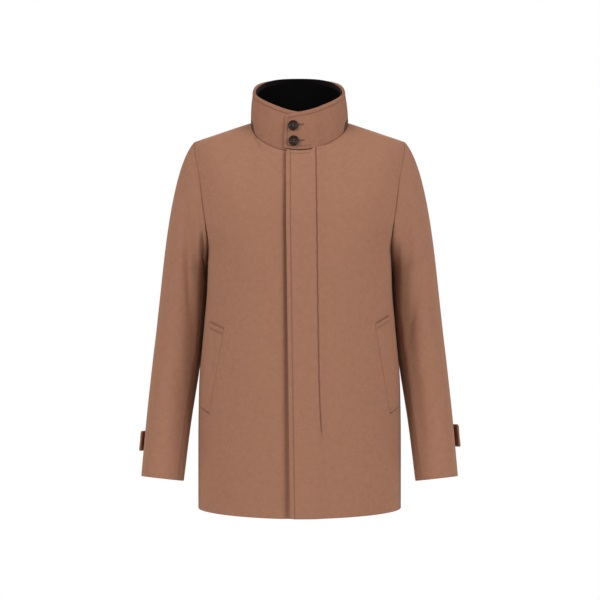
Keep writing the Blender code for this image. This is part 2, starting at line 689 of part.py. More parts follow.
def add_welts(parts):
    down = np.linspace(0, 1, WELT_ROWS + 1)[:, None, None]
    across = np.linspace(0, 1, WELT_COLUMNS + 1)[None, :, None]
    top = (1 - across) * np.array(WELT_TOP_FRONT) + across * np.array(WELT_TOP_BACK)
    foot = (1 - across) * np.array(WELT_FOOT_FRONT) + across * np.array(WELT_FOOT_BACK)
    place = (1 - down) * top + down * foot
    x, height = place[..., 0], place[..., 1]
    angle = angle_at(x, height, True)
    rise = rise_at(height)
    surface = body(angle, rise)
    normal = normal_of(body, angle, rise)
    inner = surface + LAY_GAP * normal
    outer = surface + (LAY_GAP + WELT_CLOTH) * normal
    add_wall("pocket_welt_left", outer, inner, WOOL, parts)
    add_wall("pocket_welt_right", flip_x(outer), flip_x(inner), WOOL, parts)


# A tab is sewn in at the hind seam and stands off the sleeve towards its buttoned end.
def add_tabs(parts):
    middle = (TAB_ROWS // 2, TAB_COLUMNS // 2)
    run = np.linspace(0, 1, TAB_COLUMNS + 1)[None, :]
    across = np.linspace(0.5, -0.5, TAB_ROWS + 1)[:, None]
    for tab in TABS:
        turn = np.radians(TAB_SEAM_TURN_DEG + (TAB_END_TURN_DEG - TAB_SEAM_TURN_DEG) * run)
        turn, height = np.broadcast_arrays(turn, tab.height + across * TAB_WIDTH)
        along = along_at(height)
        normal = sleeve_normal(turn, along)
        inner = sleeve(turn, along) + (LAY_GAP + TAB_STAND_OFF * run**2)[..., None] * normal
        outer = inner + TAB_CLOTH * normal
        place = outer[middle] + 2 * SEAM_GAP * normal[middle]
        side = np.array([tab.side, 1, 1])
        add_wall("cuff_tab_" + tab.name, outer * side, inner * side, WOOL, parts)
        add_button("cuff_button_" + tab.name, place * side, normal[middle] * side, CUFF_BUTTON_RADIUS, parts)


# A turned button with a raised rim and a sunk middle, its back at a point and its face along a direction.
def add_button(name, place, facing, radius, parts):
    ring = [(radius - turned.inset, 0.0, turned.rise) for turned in BUTTON_RIM]
    profile = [(0.0, 0.0, 0.0), *ring, (0.0, 0.0, BUTTON_MIDDLE)]
    edges = [(i, i + 1) for i in range(len(profile) - 1)]
    mesh = bpy.data.meshes.new(name)
    mesh.from_pydata(profile, edges, [])
    item = add_object(name, mesh, HORN, parts)
    spin = item.modifiers.new("turned", "SCREW")
    spin.axis = "Z"
    spin.steps = BUTTON_SIDES
    spin.render_steps = BUTTON_SIDES
    spin.use_merge_vertices = True
    spin.merge_threshold = 0.00005
    spin.use_normal_calculate = True
    item.rotation_mode = "QUATERNION"
    item.rotation_quaternion = Vector(facing).to_track_quat("Z", "Y")
    item.location = place


def add_collar_buttons(parts):
    for button in COLLAR_BUTTONS:
        path = np.array(left_path(button.base_x))
        high = np.array(button.high)
        normal = collar_normal(path, high)
        place = collar(path, high) + 2 * LAY_GAP * normal
        add_button("collar_button_" + button.name, place, normal, BUTTON_RADIUS, parts)


for item in list(bpy.data.objects):
    bpy.data.objects.remove(item, do_unlink=True)
coat = bpy.data.collections.new(COAT)
bpy.context.scene.collection.children.link(coat)
add_body(coat)
add_sleeves(coat)
add_collar(coat)
add_lining(coat)
add_welts(coat)
add_tabs(coat)
add_collar_buttons(coat)
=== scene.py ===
# Short wool coat with a tall buttoned collar, filled out as if worn.
# Metres, front towards -y, the wearer's left at +x, up is +z.
import math

import bpy
import numpy as np
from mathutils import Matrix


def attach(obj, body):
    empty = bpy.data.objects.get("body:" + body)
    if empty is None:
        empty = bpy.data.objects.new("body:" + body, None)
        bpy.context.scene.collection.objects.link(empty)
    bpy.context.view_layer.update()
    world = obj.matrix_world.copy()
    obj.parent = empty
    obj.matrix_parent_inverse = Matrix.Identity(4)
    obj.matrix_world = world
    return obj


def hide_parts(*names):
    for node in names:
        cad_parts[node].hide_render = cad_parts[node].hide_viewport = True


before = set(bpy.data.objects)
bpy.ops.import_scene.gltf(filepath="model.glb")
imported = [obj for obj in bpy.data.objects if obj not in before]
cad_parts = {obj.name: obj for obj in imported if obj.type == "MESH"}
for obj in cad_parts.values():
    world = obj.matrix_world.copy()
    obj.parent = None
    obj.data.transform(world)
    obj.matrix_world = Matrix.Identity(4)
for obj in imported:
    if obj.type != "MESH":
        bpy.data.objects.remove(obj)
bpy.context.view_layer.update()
print("frame loaded:", len(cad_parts), "nodes")

mm = 0.001
quarter = math.pi / 2
farOff = 1.0  # stands for an edge too far away to matter
sides = {"left": 1, "right": -1}
wall = {"cloth": 0.0025, "collar": 0.003, "pile": 0.003, "seamGap": 0.0003, "layGap": 0.0007}
edgeRun = np.array((0.0, 0.12, 0.35, 0.7, 1.1, 1.6, 2.4, 3.6)) * mm  # rows crowd this close to an edge
foldForm = {"depth": 0.47, "reach": 1.9 * mm}  # share of the wall taken off a folded edge, distance in


# 3s^2 - 2s^3 of a share held between 0 and 1
def ease(share):
    share = np.clip(share, 0.0, 1.0)
    return share * share * (3.0 - 2.0 * share)


# that curve for a value on its way from a start to an end
def ramp(value, start, end):
    return ease((value - start) / (end - start))


# a share kept at the top, eased to the whole over a reach below some height
def grownBelow(z, kept, height, reach):
    return kept + (1 - kept) * ease((height - z) / reach)


# bell curve, e to minus the square of distance over width
def bell(distance, width):
    return np.exp(-((distance / width) ** 2))


# vectors over their own length
def unit(vectors):
    return vectors / np.maximum(np.linalg.norm(vectors, axis=-1, keepdims=True), 1e-12)


# points plus directions times a distance
def moved(points, directions, distance):
    return points + directions * np.asarray(distance)[..., None]


# grids with x times the side, which mirrors them for the right
def sided(side, *grids):
    return [grid * (side, 1, 1) for grid in grids]


# lengths of the steps between neighbouring points
def steps(points, axis=0):
    return np.linalg.norm(np.diff(points, axis=axis), axis=-1)


# cubic curve through one column of a table, level wherever the column turns
def through(table, column, height):
    place = np.array(table["height"])
    value = np.array(table[column])
    step = np.diff(place)
    climb = np.diff(value) / step
    turning = climb[:-1] * climb[1:] <= 0
    total = np.where(turning, 1.0, climb[:-1] + climb[1:])
    inside = np.where(turning, 0.0, 2 * climb[:-1] * climb[1:] / total)
    slope = np.concatenate([climb[:1], inside, climb[-1:]])
    i = np.clip(np.searchsorted(place, height) - 1, 0, len(step) - 1)
    s = (height - place[i]) / step[i]
    ends = (1 + 2 * s) * (1 - s) ** 2 * value[i] + s * s * (3 - 2 * s) * value[i + 1]
    return ends + step[i] * (s * (1 - s) ** 2 * slope[i] + s * s * (s - 1) * slope[i + 1])


# superellipse by angle: the edge's distance from the centre, from the powers of sine and cosine
def superRadius(angle, width, depth, bulk):
    spread = (np.abs(np.sin(angle)) / width) ** bulk + (np.abs(np.cos(angle)) / depth) ** bulk
    return spread ** (-1 / bulk)


# superellipse by place: the edge's height over a place on the other axis
def superEdge(along, alongHalf, acrossHalf, bulk):
    return acrossHalf * (1 - np.clip(np.abs(along) / alongHalf, 0, 1) ** bulk) ** (1 / bulk)


# cross product of a surface's two small steps, made unit length
def normalOf(surface, first, second):
    step = 1e-4
    alongFirst = surface(first + step, second) - surface(first - step, second)
    alongSecond = surface(first, second + step) - surface(first, second - step)
    return unit(np.cross(alongFirst, alongSecond))


# running length over a grid of points from each of its four sides
def edgeDistances(points):
    left = np.cumsum(np.pad(steps(points, 1), ((0, 0), (1, 0))), 1)
    foot = np.cumsum(np.pad(steps(points), ((1, 0), (0, 0))), 0)
    return {"left": left, "right": left[:, -1:] - left, "foot": foot, "top": foot[-1:] - foot}


# how far a quarter-round of some reach has dropped at a distance from the edge
def quarterRound(distance, reach):
    return reach - np.sqrt(np.maximum(reach**2 - (reach - np.clip(distance, 0, reach)) ** 2, 0.0))


# inset of a folded edge: a quarter ellipse almost as deep as half the wall
def foldedEdge(distance, thick, reach=foldForm["reach"]):
    return foldForm["depth"] * thick * quarterRound(distance, reach) / reach


# places from first to last about one step apart, crowded at the ends that are cut or folded
def places(first, last, step, scale=1.0, fineFirst=True, fineLast=True):
    crowd = edgeRun / scale
    head = first + crowd if fineFirst else np.array([first])
    tail = last - crowd[::-1] if fineLast else np.array([last])
    count = max(2, int(round((tail[0] - head[-1]) / step)))
    return np.concatenate([head, np.linspace(head[-1], tail[0], count + 1)[1:-1], tail])


# colours: sRGB hex to linear, below 0.04045 over 12.92, else the 2.4 power
def linear(code):
    value = np.array([int(code[i : i + 2], 16) for i in (1, 3, 5)]) / 255
    value = np.where(value <= 0.04045, value / 12.92, ((value + 0.055) / 1.055) ** 2.4)
    return (*value.tolist(), 1.0)


# one node with its settings and links: a setting names a property or an input, _0 links to input 0
def addNode(tree, kind, settings=None, **links):
    node = tree.nodes.new("ShaderNode" + kind)
    for key, value in (settings or {}).items():
        if isinstance(key, str) and hasattr(node, key):
            setattr(node, key, value)
        else:
            node.inputs[key].default_value = value
    for key, source in links.items():
        target = node.inputs[int(key[1:])] if key[0] == "_" else node.inputs[key.replace("_", " ")]
        tree.links.new(source, target)
    return node


# noise over the piece's own coordinates, its scale one over the size of a grain
def addNoise(tree, grain, detail, swirl=0.0):
    place = addNode(tree, "TexCoord")
    settings = {"Scale": 1 / grain, "Detail": detail, "Distortion": swirl}
    return addNode(tree, "TexNoise", settings, Vector=place.outputs["Object"]).outputs["Fac"]


# first colour to second by a share; each is a hex code or a node's output
def addBlend(tree, share, first, second):
    node = addNode(tree, "Mix", {"data_type": "RGBA"}, _0=share)
    for socket, colour in ((node.inputs[6], first), (node.inputs[7], second)):
        if isinstance(colour, str):
            socket.default_value = linear(colour)
        else:
            tree.links.new(colour, socket)
    return node.outputs[2]


# first times a weight, plus second
def addSum(tree, first, weight, second):
    return addNode(tree, "Math", {"operation": "MULTIPLY_ADD", 1: weight}, _0=first, _2=second).outputs[0]


# output of the painted shading a mesh carries: painted shade in its seams, stitch grooves and shadowed edges,
# and painted sheen on the pile
def seamOutput(tree):
    return addNode(tree, "Attribute", {"attribute_name": "seam"}).outputs["Fac"]


# a material and its nodes
def newMaterial(name):
    material = bpy.data.materials.new(name)
    material.use_nodes = True
    return material, material.node_tree


# the shader's sockets: a node's output is linked, anything else is set as a constant
def setShader(tree, values):
    shader = tree.nodes["Principled BSDF"]
    for key, value in values.items():
        if isinstance(value, bpy.types.NodeSocket):
            tree.links.new(value, shader.inputs[key])
        else:
            shader.inputs[key].default_value = value


# wool melton: milled and brushed, so a soft matt face, faint mottling, pale bloom at grazing angles
woolLook = {
    "body": ("#805946", "#906650"),
    "collar": ("#795341", "#89604b"),  # painted shade: a darker copy of the body's wool, as the upright collar catches less light from above
    # painted shade: the dark tone blended in along seams, stitch grooves and shadowed welt edges
    "seam": "#4a2c20",
    "mottle": 9.0 * mm,
    "mottleShare": 0.35,
    "fibre": 1.1 * mm,  # drawn coarser than the real 0.02 mm hair
    "twill": 1.8 * mm,  # drawn coarser than the real 0.9 mm rib
    "twillShare": 0.35,
    "bands": 0.31,  # wave scale that gives one rib a metre
    "weave": {"bands_direction": "DIAGONAL", "Distortion": 1.2, "Detail": 1.0},
    "spread": {"From Min": 0.475, "From Max": 0.875},
    "bump": {"Strength": 0.22, "Distance": 0.0006},
    "shader": {
        "Roughness": 0.93,
        "Specular IOR Level": 0.25,
        "Sheen Weight": 0.28,
        "Sheen Roughness": 0.5,
        "Sheen Tint": linear("#cc9a80"),
    },
}


# two tones by mottle and fibre, painted shade along seams and stitch grooves, with a bump of twill and fibre
def woolMaterial(name, tones):
    look = woolLook
    material, tree = newMaterial(name)
    flat = addNode(tree, "UVMap", {"uv_map": "cut"})
    fibre = addNoise(tree, look["fibre"], 2.0)
    weave = {**look["weave"], "Scale": look["bands"] / look["twill"]}
    twill = addNode(tree, "TexWave", weave, Vector=flat.outputs["UV"]).outputs["Fac"]
    both = addSum(tree, addNoise(tree, look["mottle"], 3.0), look["mottleShare"], fibre)
    tone = addNode(tree, "MapRange", look["spread"], _0=both)
    shadedTone = addBlend(tree, seamOutput(tree), addBlend(tree, tone.outputs[0], *tones), look["seam"])
    bump = addNode(tree, "Bump", look["bump"], Height=addSum(tree, twill, look["twillShare"], fibre))
    setShader(tree, {"Base Color": shadedTone, "Normal": bump.outputs[0], **look["shader"]})
    return material


# two tones by one noise, another tone painted along a marked band, and a bump of the same noise; on the pile
# that tone is painted sheen
def grainMaterial(name, look):
    material, tree = newMaterial(name)
    grain = addNoise(tree, look["grain"], look["detail"], look.get("swirl", 0.0))
    colour = addBlend(tree, grain, *look["tones"])
    if "edge" in look:
        colour = addBlend(tree, seamOutput(tree), colour, look["edge"])
    if "bump" in look:
        setShader(tree, {"Normal": addNode(tree, "Bump", look["bump"], Height=grain).outputs[0]})
    setShader(tree, {"Base Color": colour, **look["shader"]})
    return material


# black pile: short upright nap that drinks the light and only greys where it is seen edge-on; that greying is
# painted sheen, a paler tone along its ribbed top band
pileLook = {
    "tones": ("#010101", "#060505"),
    # painted sheen: the paler grey of the pile seen edge-on along its top band
    "edge": "#2a2022",
    "grain": 1.6 * mm,
    "detail": 3.0,
    "bump": {"Strength": 0.6, "Distance": 0.0012},
    "shader": {"Roughness": 0.95, "Specular IOR Level": 0.05, "Sheen Weight": 0.03, "Sheen Roughness": 0.4},
}
# brown collar felt: pressed fibres with no weave, flat and dull
feltLook = {
    "tones": ("#3c2a22", "#5c453b"),
    "grain": 1.2 * mm,
    "detail": 4.0,
    "bump": {"Strength": 0.4, "Distance": 0.0008},
    "shader": {"Roughness": 0.96, "Specular IOR Level": 0.2},
}
# cast horn-look resin: dark streaked brown with a soft polish
hornLook = {
    "tones": ("#0e0806", "#2e1d16"),
    "grain": 4.0 * mm,
    "detail": 3.0,
    "swirl": 1.5,
    "shader": {"Roughness": 0.42, "Specular IOR Level": 0.16},
}
# spun sewing thread: tonal, a little shinier than the wool
threadLook = {"grain": 0.8 * mm, "detail": 2.0, "shader": {"Roughness": 0.6}}

wool = woolMaterial("wool_melton", woolLook["body"])
# painted shade: the collar gets the body's wool in darker tones
shadedCollarWool = woolMaterial("wool_collar_shaded", woolLook["collar"])
pile = grainMaterial("black_pile", pileLook)
felt = grainMaterial("collar_felt", feltLook)
horn = grainMaterial("horn_resin", hornLook)
seamThread = grainMaterial("seam_thread", {**threadLook, "tones": ("#6b4636", "#8a604c")})
buttonThread = grainMaterial("button_thread", {**threadLook, "tones": ("#5c453a", "#8f7062")})
holeThread = grainMaterial("buttonhole_thread", {**threadLook, "tones": ("#3c281f", "#694838")})
print("materials made")


# a mesh object at the origin from points and four-cornered faces
def addMesh(name, points, faces, material):
    mesh = bpy.data.meshes.new(name)
    mesh.from_pydata(points.tolist(), [], faces.tolist())
    mesh.shade_smooth()
    mesh.materials.append(material)
    item = bpy.data.objects.new(name, mesh)
    bpy.context.scene.collection.objects.link(item)
    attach(item, "root")
    return item


# faces of a grid of points, wrapped round in columns or not
def gridFaces(rows, columns, wrap=False):
    index = np.arange(rows * columns).reshape(rows, columns)
    if wrap:
        index = np.concatenate([index, index[:, :1]], axis=1)
    corners = (index[:-1, :-1], index[:-1, 1:], index[1:, 1:], index[1:, :-1])
    return np.stack(corners, axis=-1).reshape(-1, 4)


# closed cloth wall: outer grid, inner grid turned over, and the strip joining their borders
def addShell(name, outer, inner, paintedShading, material, node, slot):
    rows, columns = outer.shape[:2]
    count = rows * columns
    index = np.arange(count).reshape(rows, columns)
    face = gridFaces(rows, columns)
    border = np.concatenate([index[0, :-1], index[:-1, -1], index[-1, :0:-1], index[:0:-1, 0]])
    after = np.roll(border, -1)
    strip = np.stack([after, border, border + count, after + count], axis=-1)
    faces = np.concatenate([face, face[:, ::-1] + count, strip])
    points = np.concatenate([outer.reshape(-1, 3), inner.reshape(-1, 3)])
    a, b, c, d = (points[faces[:, i]] for i in range(4))
    volume = np.einsum("ij,ij->", a, np.cross(b, c)) + np.einsum("ij,ij->", a, np.cross(c, d))
    if volume < 0:
        faces = faces[:, ::-1]
    item = addMesh(name, points, faces, material)
    run = edgeDistances(outer)
    cut = np.stack([run["left"], run["foot"]], axis=-1).reshape(-1, 2)
    corner = np.concatenate([cut, cut])[faces.reshape(-1)]
    item.data.uv_layers.new(name="cut").data.foreach_set("uv", corner.astype(np.float32).reshape(-1))
    # the painted shading of each point, kept in an attribute that the materials read
    seam = item.data.attributes.new("seam", "FLOAT", "POINT")
    seam.data.foreach_set("value", np.concatenate([paintedShading, paintedShading]).reshape(-1).astype(np.float32))
    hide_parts(node)
    print("shell", name, len(item.data.polygons) * 2, "triangles")


creaseForm = {"over": 0.25, "fade": 0.4, "facing": 1.6}


# trough or ridge along a line seen from the front or back: bell of the distance off it, eased at both ends
# a row: start x and z, end x and z, half width, depth, facing (-1 front, 1 back) and, if any, a sideways bow
def creases(points, normals, table):
    over, fade = creaseForm["over"], creaseForm["fade"]
    pressed = np.zeros(points.shape[:-1])
    for startX, startZ, endX, endZ, width, depth, facing, *bow in table:
        start = np.array((startX, startZ))
        run = np.array((endX, endZ)) - start
        place = points[..., [0, 2]] - start
        share = place @ run / (run @ run)
        bowed = sum(bow) * np.clip(4 * share * (1 - share), -1, 1)
        off = (place[..., 0] * run[1] - place[..., 1] * run[0]) / np.linalg.norm(run) - bowed
        ends = ease((share + over) / fade) * ease((1 + over - share) / fade)
        pressed += depth * bell(off, width) * ends * ease(normals[..., 1] * facing * creaseForm["facing"])
    return pressed


# body
bodyCut = {
    "height": (-0.772, -0.640, -0.530, -0.400, -0.330, -0.265, -0.200),  # hem to chest
    "halfWidth": (0.2020, 0.2020, 0.2005, 0.1900, 0.1842, 0.1830, 0.2145),
    "frontDepth": (0.152, 0.149, 0.146, 0.143, 0.142, 0.141, 0.138),
    "backDepth": (0.140, 0.137, 0.133, 0.128, 0.127, 0.127, 0.126),
    "frontBulk": (1.95, 2.00, 2.10, 2.30, 2.50, 2.65, 2.20),
    "backBulk": (2.05, 2.05, 2.10, 2.20, 2.30, 2.40, 2.20),
    "hem": -0.772,
    "underarm": -0.265,
    "chest": -0.200,
    "hemDip": 0.006,
    "dipPower": 1.2,
}
yokeCut = {
    "peak": 0.0315,
    "slope": 0.34,
    "seamY": 0.008,
    "tipX": 0.211,
    "frontLean": (1.5, 1.6),
    "tipLean": (2.4, 2.3),
    "backLean": (2.6, 2.3),
    "leanTurns": (0.090, 0.200),
}
neckCut = {
    "halfWidth": 0.097,
    "left": (-0.0620, 1.8),  # height and bulk of the curve
    "right": (-0.0655, 2.0),
    "backY": 0.063,
    "backBulk": 2.2,
    "napeRise": 0.013,
    "axisY": -0.010,
}
lap = {
    "leftTopX": -0.0262,
    "leftHemX": -0.0178,
    "rightTopX": -0.0300,
    "rightHemX": -0.0300,
    "lift": 0.0042,
    "flatX": 0.030,
    "endX": 0.055,
    "topDrop": 0.0135,
    "topDropTurns": (0.0275, 0.0225),
    "underPress": 5.2 * mm,  # the right front is pressed in under the placket's edge
    "underX": 0.021,
    "underReach": 0.0105,
    "pressGrows": (0.6, -0.08, 0.12),  # share kept at the top, height, reach
    "perRise": 0.1937,
    "topCorner": 0.006,
    "hemCorner": 0.007,
}
armholeCut = {
    "front": 0.070,
    "back": 0.068,
    "skew": 0.25,
    "height": (-0.2650, -0.2400, -0.2100, -0.1700, -0.1170, -0.0612, -0.0402),  # front seam, underarm to tip
    "frontX": (0.1830, 0.1812, 0.1842, 0.1900, 0.1970, 0.2085, 0.2110),
    "halvings": 50,
}
panelMesh = {
    "fineTo": 0.056,  # close columns from the centre edge to here
    "fineStep": 1.1 * mm,
    "neckColumns": 28,
    "napeColumns": 40,
    "armRows": 110,
    "tipTurn": 1e-6,
    "shoulderStep": 0.018,
    "rowStep": 5.5 * mm,
}


# straight slope out from the neck, rounded over inside it
def shoulderHeight(x):
    half = neckCut["halfWidth"]
    reach = np.abs(x)
    run = np.where(reach < half, (reach * reach / half + half) / 2, reach)
    return yokeCut["peak"] - yokeCut["slope"] * run


# exponents with which a yoke profile leaves the chest and meets the shoulder line
def leanOf(x, atFront):
    tip = ramp(np.abs(x), *yokeCut["leanTurns"])
    rows = zip(yokeCut["frontLean"], yokeCut["tipLean"], yokeCut["backLean"])
    return [np.where(atFront, front + (outer - front) * tip, back) for front, outer, back in rows]


# half width, depth and bulk of the section at a height
def section(height, atFront):
    depth, bulk = (
        np.where(atFront, through(bodyCut, "front" + key, height), through(bodyCut, "back" + key, height))
        for key in ("Depth", "Bulk")
    )
    return through(bodyCut, "halfWidth", height), depth, bulk


# height by rise: a share of the way from hem to chest
def heightOf(rise):
    return bodyCut["hem"] + np.clip(rise, 0, 1) * (bodyCut["chest"] - bodyCut["hem"])


# rise by height: that share found back
def riseAt(height):
    return (height - bodyCut["hem"]) / (bodyCut["chest"] - bodyCut["hem"])


# a superellipse section up to the chest, each of its points then led over to the shoulder seam
# angle 0 is the front and 90 degrees the left side; rise is 0 at the hem, 1 at the chest, 2 at the seam
def body(angle, rise):
    angle, rise = np.broadcast_arrays(np.asarray(angle, float), np.asarray(rise, float))
    height = heightOf(rise)
    atFront = np.cos(angle) > 0
    radius = superRadius(angle, *section(height, atFront))
    x, y = radius * np.sin(angle), -radius * np.cos(angle)
    turn = np.clip(rise - 1, 0, 1) * quarter
    start, finish = leanOf(x, atFront)
    climb = (1 - np.cos(turn) ** finish) ** (1 / start)
    y = y + (yokeCut["seamY"] - y) * (1 - np.cos(turn))
    nape = neckCut["napeRise"] * np.clip(1 - (x / neckCut["halfWidth"]) ** 2, 0, 1) ** 2
    top = shoulderHeight(x) + np.where(atFront, 0.0, nape)
    dip = bodyCut["hemDip"] * np.clip(np.cos(angle), 0, 1) ** bodyCut["dipPower"]
    dip = dip * np.clip(1 - rise, 0, 1) ** 2
    return np.stack([x, y, height + (top - bodyCut["chest"]) * climb - dip], axis=-1)


# angle of the point of a section at a distance from the centre line
def angleAt(x, height, atFront):
    y = superEdge(x, *section(np.minimum(height, bodyCut["chest"]), atFront))
    return np.arctan2(x, np.where(atFront, y, -y))


# share of the yoke's lean still to come at a height: the climb's power taken from 1, to another power
def yokeLean(x, height, atFront):
    start, finish = leanOf(x, atFront)
    climb = np.clip((height - bodyCut["chest"]) / (shoulderHeight(x) - bodyCut["chest"]), 0, 1)
    return (1 - climb**start) ** (1 / finish)


# rise of a yoke point: the arc cosine of that share
def yokeRise(x, height, atFront):
    return 1 + np.arccos(yokeLean(x, height, atFront)) / quarter


# neckline curves: swing is 0 at the centre and 1 at the shoulder seam; x goes by a power of its sine
def neckX(swing, bulk):
    return neckCut["halfWidth"] * np.sign(swing) * np.abs(np.sin(swing * quarter)) ** (2 / bulk)


# and the drop by a power of its cosine, 1 at the centre
def neckDrop(swing, bulk):
    return np.abs(np.cos(swing * quarter)) ** (2 / bulk)


# swing from x, by the arc sine
def neckSwing(x, bulk):
    share = np.clip(np.abs(x) / neckCut["halfWidth"], 0, 1)
    return np.sign(x) * np.arcsin(share ** (bulk / 2)) / quarter


# a superellipse arc by height on the front yoke
def frontNeckline(swing, neck):
    front, bulk = neck
    x = neckX(swing, bulk)
    side = shoulderHeight(neckCut["halfWidth"])
    height = side + (front - side) * neckDrop(swing, bulk)
    return angleAt(x, bodyCut["chest"], True), yokeRise(x, height, True)


# a superellipse arc by depth on the back yoke
def backNeckline(swing):
    bulk, seamY = neckCut["backBulk"], yokeCut["seamY"]
    angle = angleAt(neckX(swing, bulk), bodyCut["chest"], False)
    share = (neckCut["backY"] - seamY) * neckDrop(swing, bulk) / (body(angle, 1.0)[..., 1] - seamY)
    return angle, 1 + np.arccos(np.clip(share, 0, 1)) / quarter


# in front a curve by height; behind a skewed oval from the side, set on the body by halving an interval
# turn is 0 at the shoulder tip, 90 degrees in front and 180 under the arm
def armhole(turn):
    atFront = np.sin(turn) >= 0
    top, foot, seamY = shoulderHeight(yokeCut["tipX"]), bodyCut["underarm"], yokeCut["seamY"]
    reach = np.where(atFront, armholeCut["front"], armholeCut["back"])
    swing = reach * np.sin(turn) * (1 - armholeCut["skew"] * np.cos(turn))
    y = seamY * (1 + np.cos(turn)) / 2 - swing
    z = (top + foot) / 2 + (top - foot) / 2 * np.cos(turn)
    width, depth, bulk = section(np.minimum(z, bodyCut["chest"]), atFront)
    near = np.full_like(z, neckCut["halfWidth"])
    far = np.minimum((yokeCut["peak"] - z) / yokeCut["slope"], width)
    outward = np.where(atFront, 1, -1)
    for _ in range(armholeCut["halvings"]):
        middle = (near + far) / 2
        base = -outward * superEdge(middle, width, depth, bulk)
        short = outward * (y - base - (seamY - base) * (1 - yokeLean(middle, z, atFront))) > 0
        near, far = np.where(short, middle, near), np.where(short, far, middle)
    onYoke = z > bodyCut["chest"]
    x = np.where(onYoke, (near + far) / 2, superEdge(y, depth, width, bulk))
    x = np.where(atFront, through(armholeCut, "frontX", z), x)
    return angleAt(x, z, atFront), np.where(onYoke, yokeRise(x, z, atFront), riseAt(z))


# lift of the left side where it laps over the right
def lapLift(x):
    return lap["lift"] * ramp(x, lap["endX"], lap["flatX"])


# columns fan out from the centre edge; rows run level to the underarm, then follow the armhole up
def panelGrid(topX, hemX, neck, onLeft):
    mesh, atFront, straight = panelMesh, neck is not None, 1
    if atFront:
        swing = neckSwing(places(topX, mesh["fineTo"], mesh["fineStep"], fineLast=False), neck[1])
        straight = len(swing)
        swing = np.concatenate([swing, np.linspace(swing[-1], 1, mesh["neckColumns"])[1:]])
        neckAngle, neckRise = frontNeckline(swing, neck)
    else:
        neckAngle, neckRise = backNeckline(np.linspace(0, 1, mesh["napeColumns"]))
    turn = np.radians(np.linspace(180, mesh["tipTurn"], mesh["armRows"])) * (1 if atFront else -1)
    sideAngle, sideRise = armhole(turn)
    way = np.sign(sideAngle[-1] - neckAngle[-1])
    step, scale = way * mesh["shoulderStep"], way * yokeCut["tipX"]
    shoulder = places(neckAngle[-1], sideAngle[-1], step, scale, fineFirst=False)[1:]
    topAngle = np.concatenate([neckAngle, shoulder])
    topRise = np.concatenate([neckRise, np.full_like(shoulder, 2.0)])
    topAt = body(topAngle, 1.0)[:, 0]
    corner = np.zeros_like(topAngle)
    if onLeft:
        topRise = topRise - lap["topDrop"] * ramp(topAt, *lap["topDropTurns"])
        topRise = topRise - quarterRound(topAt - topX, lap["topCorner"]) / lap["perRise"]
        corner = quarterRound(topAt - topX, lap["hemCorner"]) / (bodyCut["chest"] - bodyCut["hem"])
    topShare = (topAngle - topAngle[0]) / (topAngle[-1] - topAngle[0])
    arc = np.cumsum(steps(body(topAngle, topRise)[straight - 1 :]))
    lowShare = topShare.copy()
    lowShare[straight:] = topShare[straight - 1] + (1 - topShare[straight - 1]) * arc / arc[-1]
    split = riseAt(bodyCut["underarm"])
    low = riseAt(places(bodyCut["hem"], bodyCut["underarm"], mesh["rowStep"], fineLast=False))[:-1]
    level = np.concatenate([low, sideRise])[:, None]
    rowEnd = np.concatenate([np.full_like(low, quarter), sideAngle])
    climb = np.clip((level - split) / (2 - split), 0, 1) ** 2
    share = lowShare + (topShare - lowShare) * climb
    rise = np.where(level <= split, corner + level * (1 - corner / split), level - (2 - topRise) * climb)
    edgeX = hemX + (topX - hemX) * np.clip(rise[:, 0], 0, 1)
    rowStart = angleAt(edgeX, heightOf(rise[:, 0]), atFront)
    angle = rowStart[:, None] + (rowEnd - rowStart)[:, None] * share
    return angle, rise, len(low), len(neckAngle)


# placket: concealed buttons under a lapped strip, edge-stitched, with one long line of fly stitching
placket = {
    "edgeStitch": 8.4 * mm,
    "topStitch": 7.5 * mm,
    "topStitchEnd": 0.0215,
    "puff": 0.5 * mm,
    "groove": 0.7 * mm,
    "grooveWidth": 1.0 * mm,
    # strength of the painted shade in the edge and top stitching's grooves
    "grooveShade": 0.5,
    "flyGroove": 1.3 * mm,
    "flyWidth": 1.05 * mm,
    # strength of the painted shade in the fly stitching's groove
    "flyShade": 0.9,
    "flyStart": -0.628,
    "flyStartFade": 8 * mm,
    "flyFoot": -0.612,
    "flyFootFade": 6 * mm,
    "flyRest": 0.25,  # how much of the groove is left below its foot
    "flyStep": 0.8 * mm,
    "stepReach": 3 * mm,
    "stepFade": 0.05,
    "wander": 0.35 * mm,  # hand-guided, so it strays a little
    "wanderWaves": (190, 47),
    "height": (-0.6300, -0.6108, -0.5625, -0.5104, -0.3560, -0.0600),  # fly stitching, by height
    "flyX": (0.0470, 0.0424, 0.0392, 0.0374, 0.0349, 0.0316),
}


# the placket's edge, straight from hem to neck
def placketEdge(z):
    return lap["leftHemX"] + (lap["leftTopX"] - lap["leftHemX"]) * np.clip(riseAt(z), 0, 1)


# the fly stitching: its curve by height plus a product of two sines
def flyX(z):
    first, second = placket["wanderWaves"]
    held = np.clip(z, placket["height"][0], placket["height"][-1])
    return through(placket, "flyX", held) + placket["wander"] * np.sin(z * first) * np.sin(z * second)


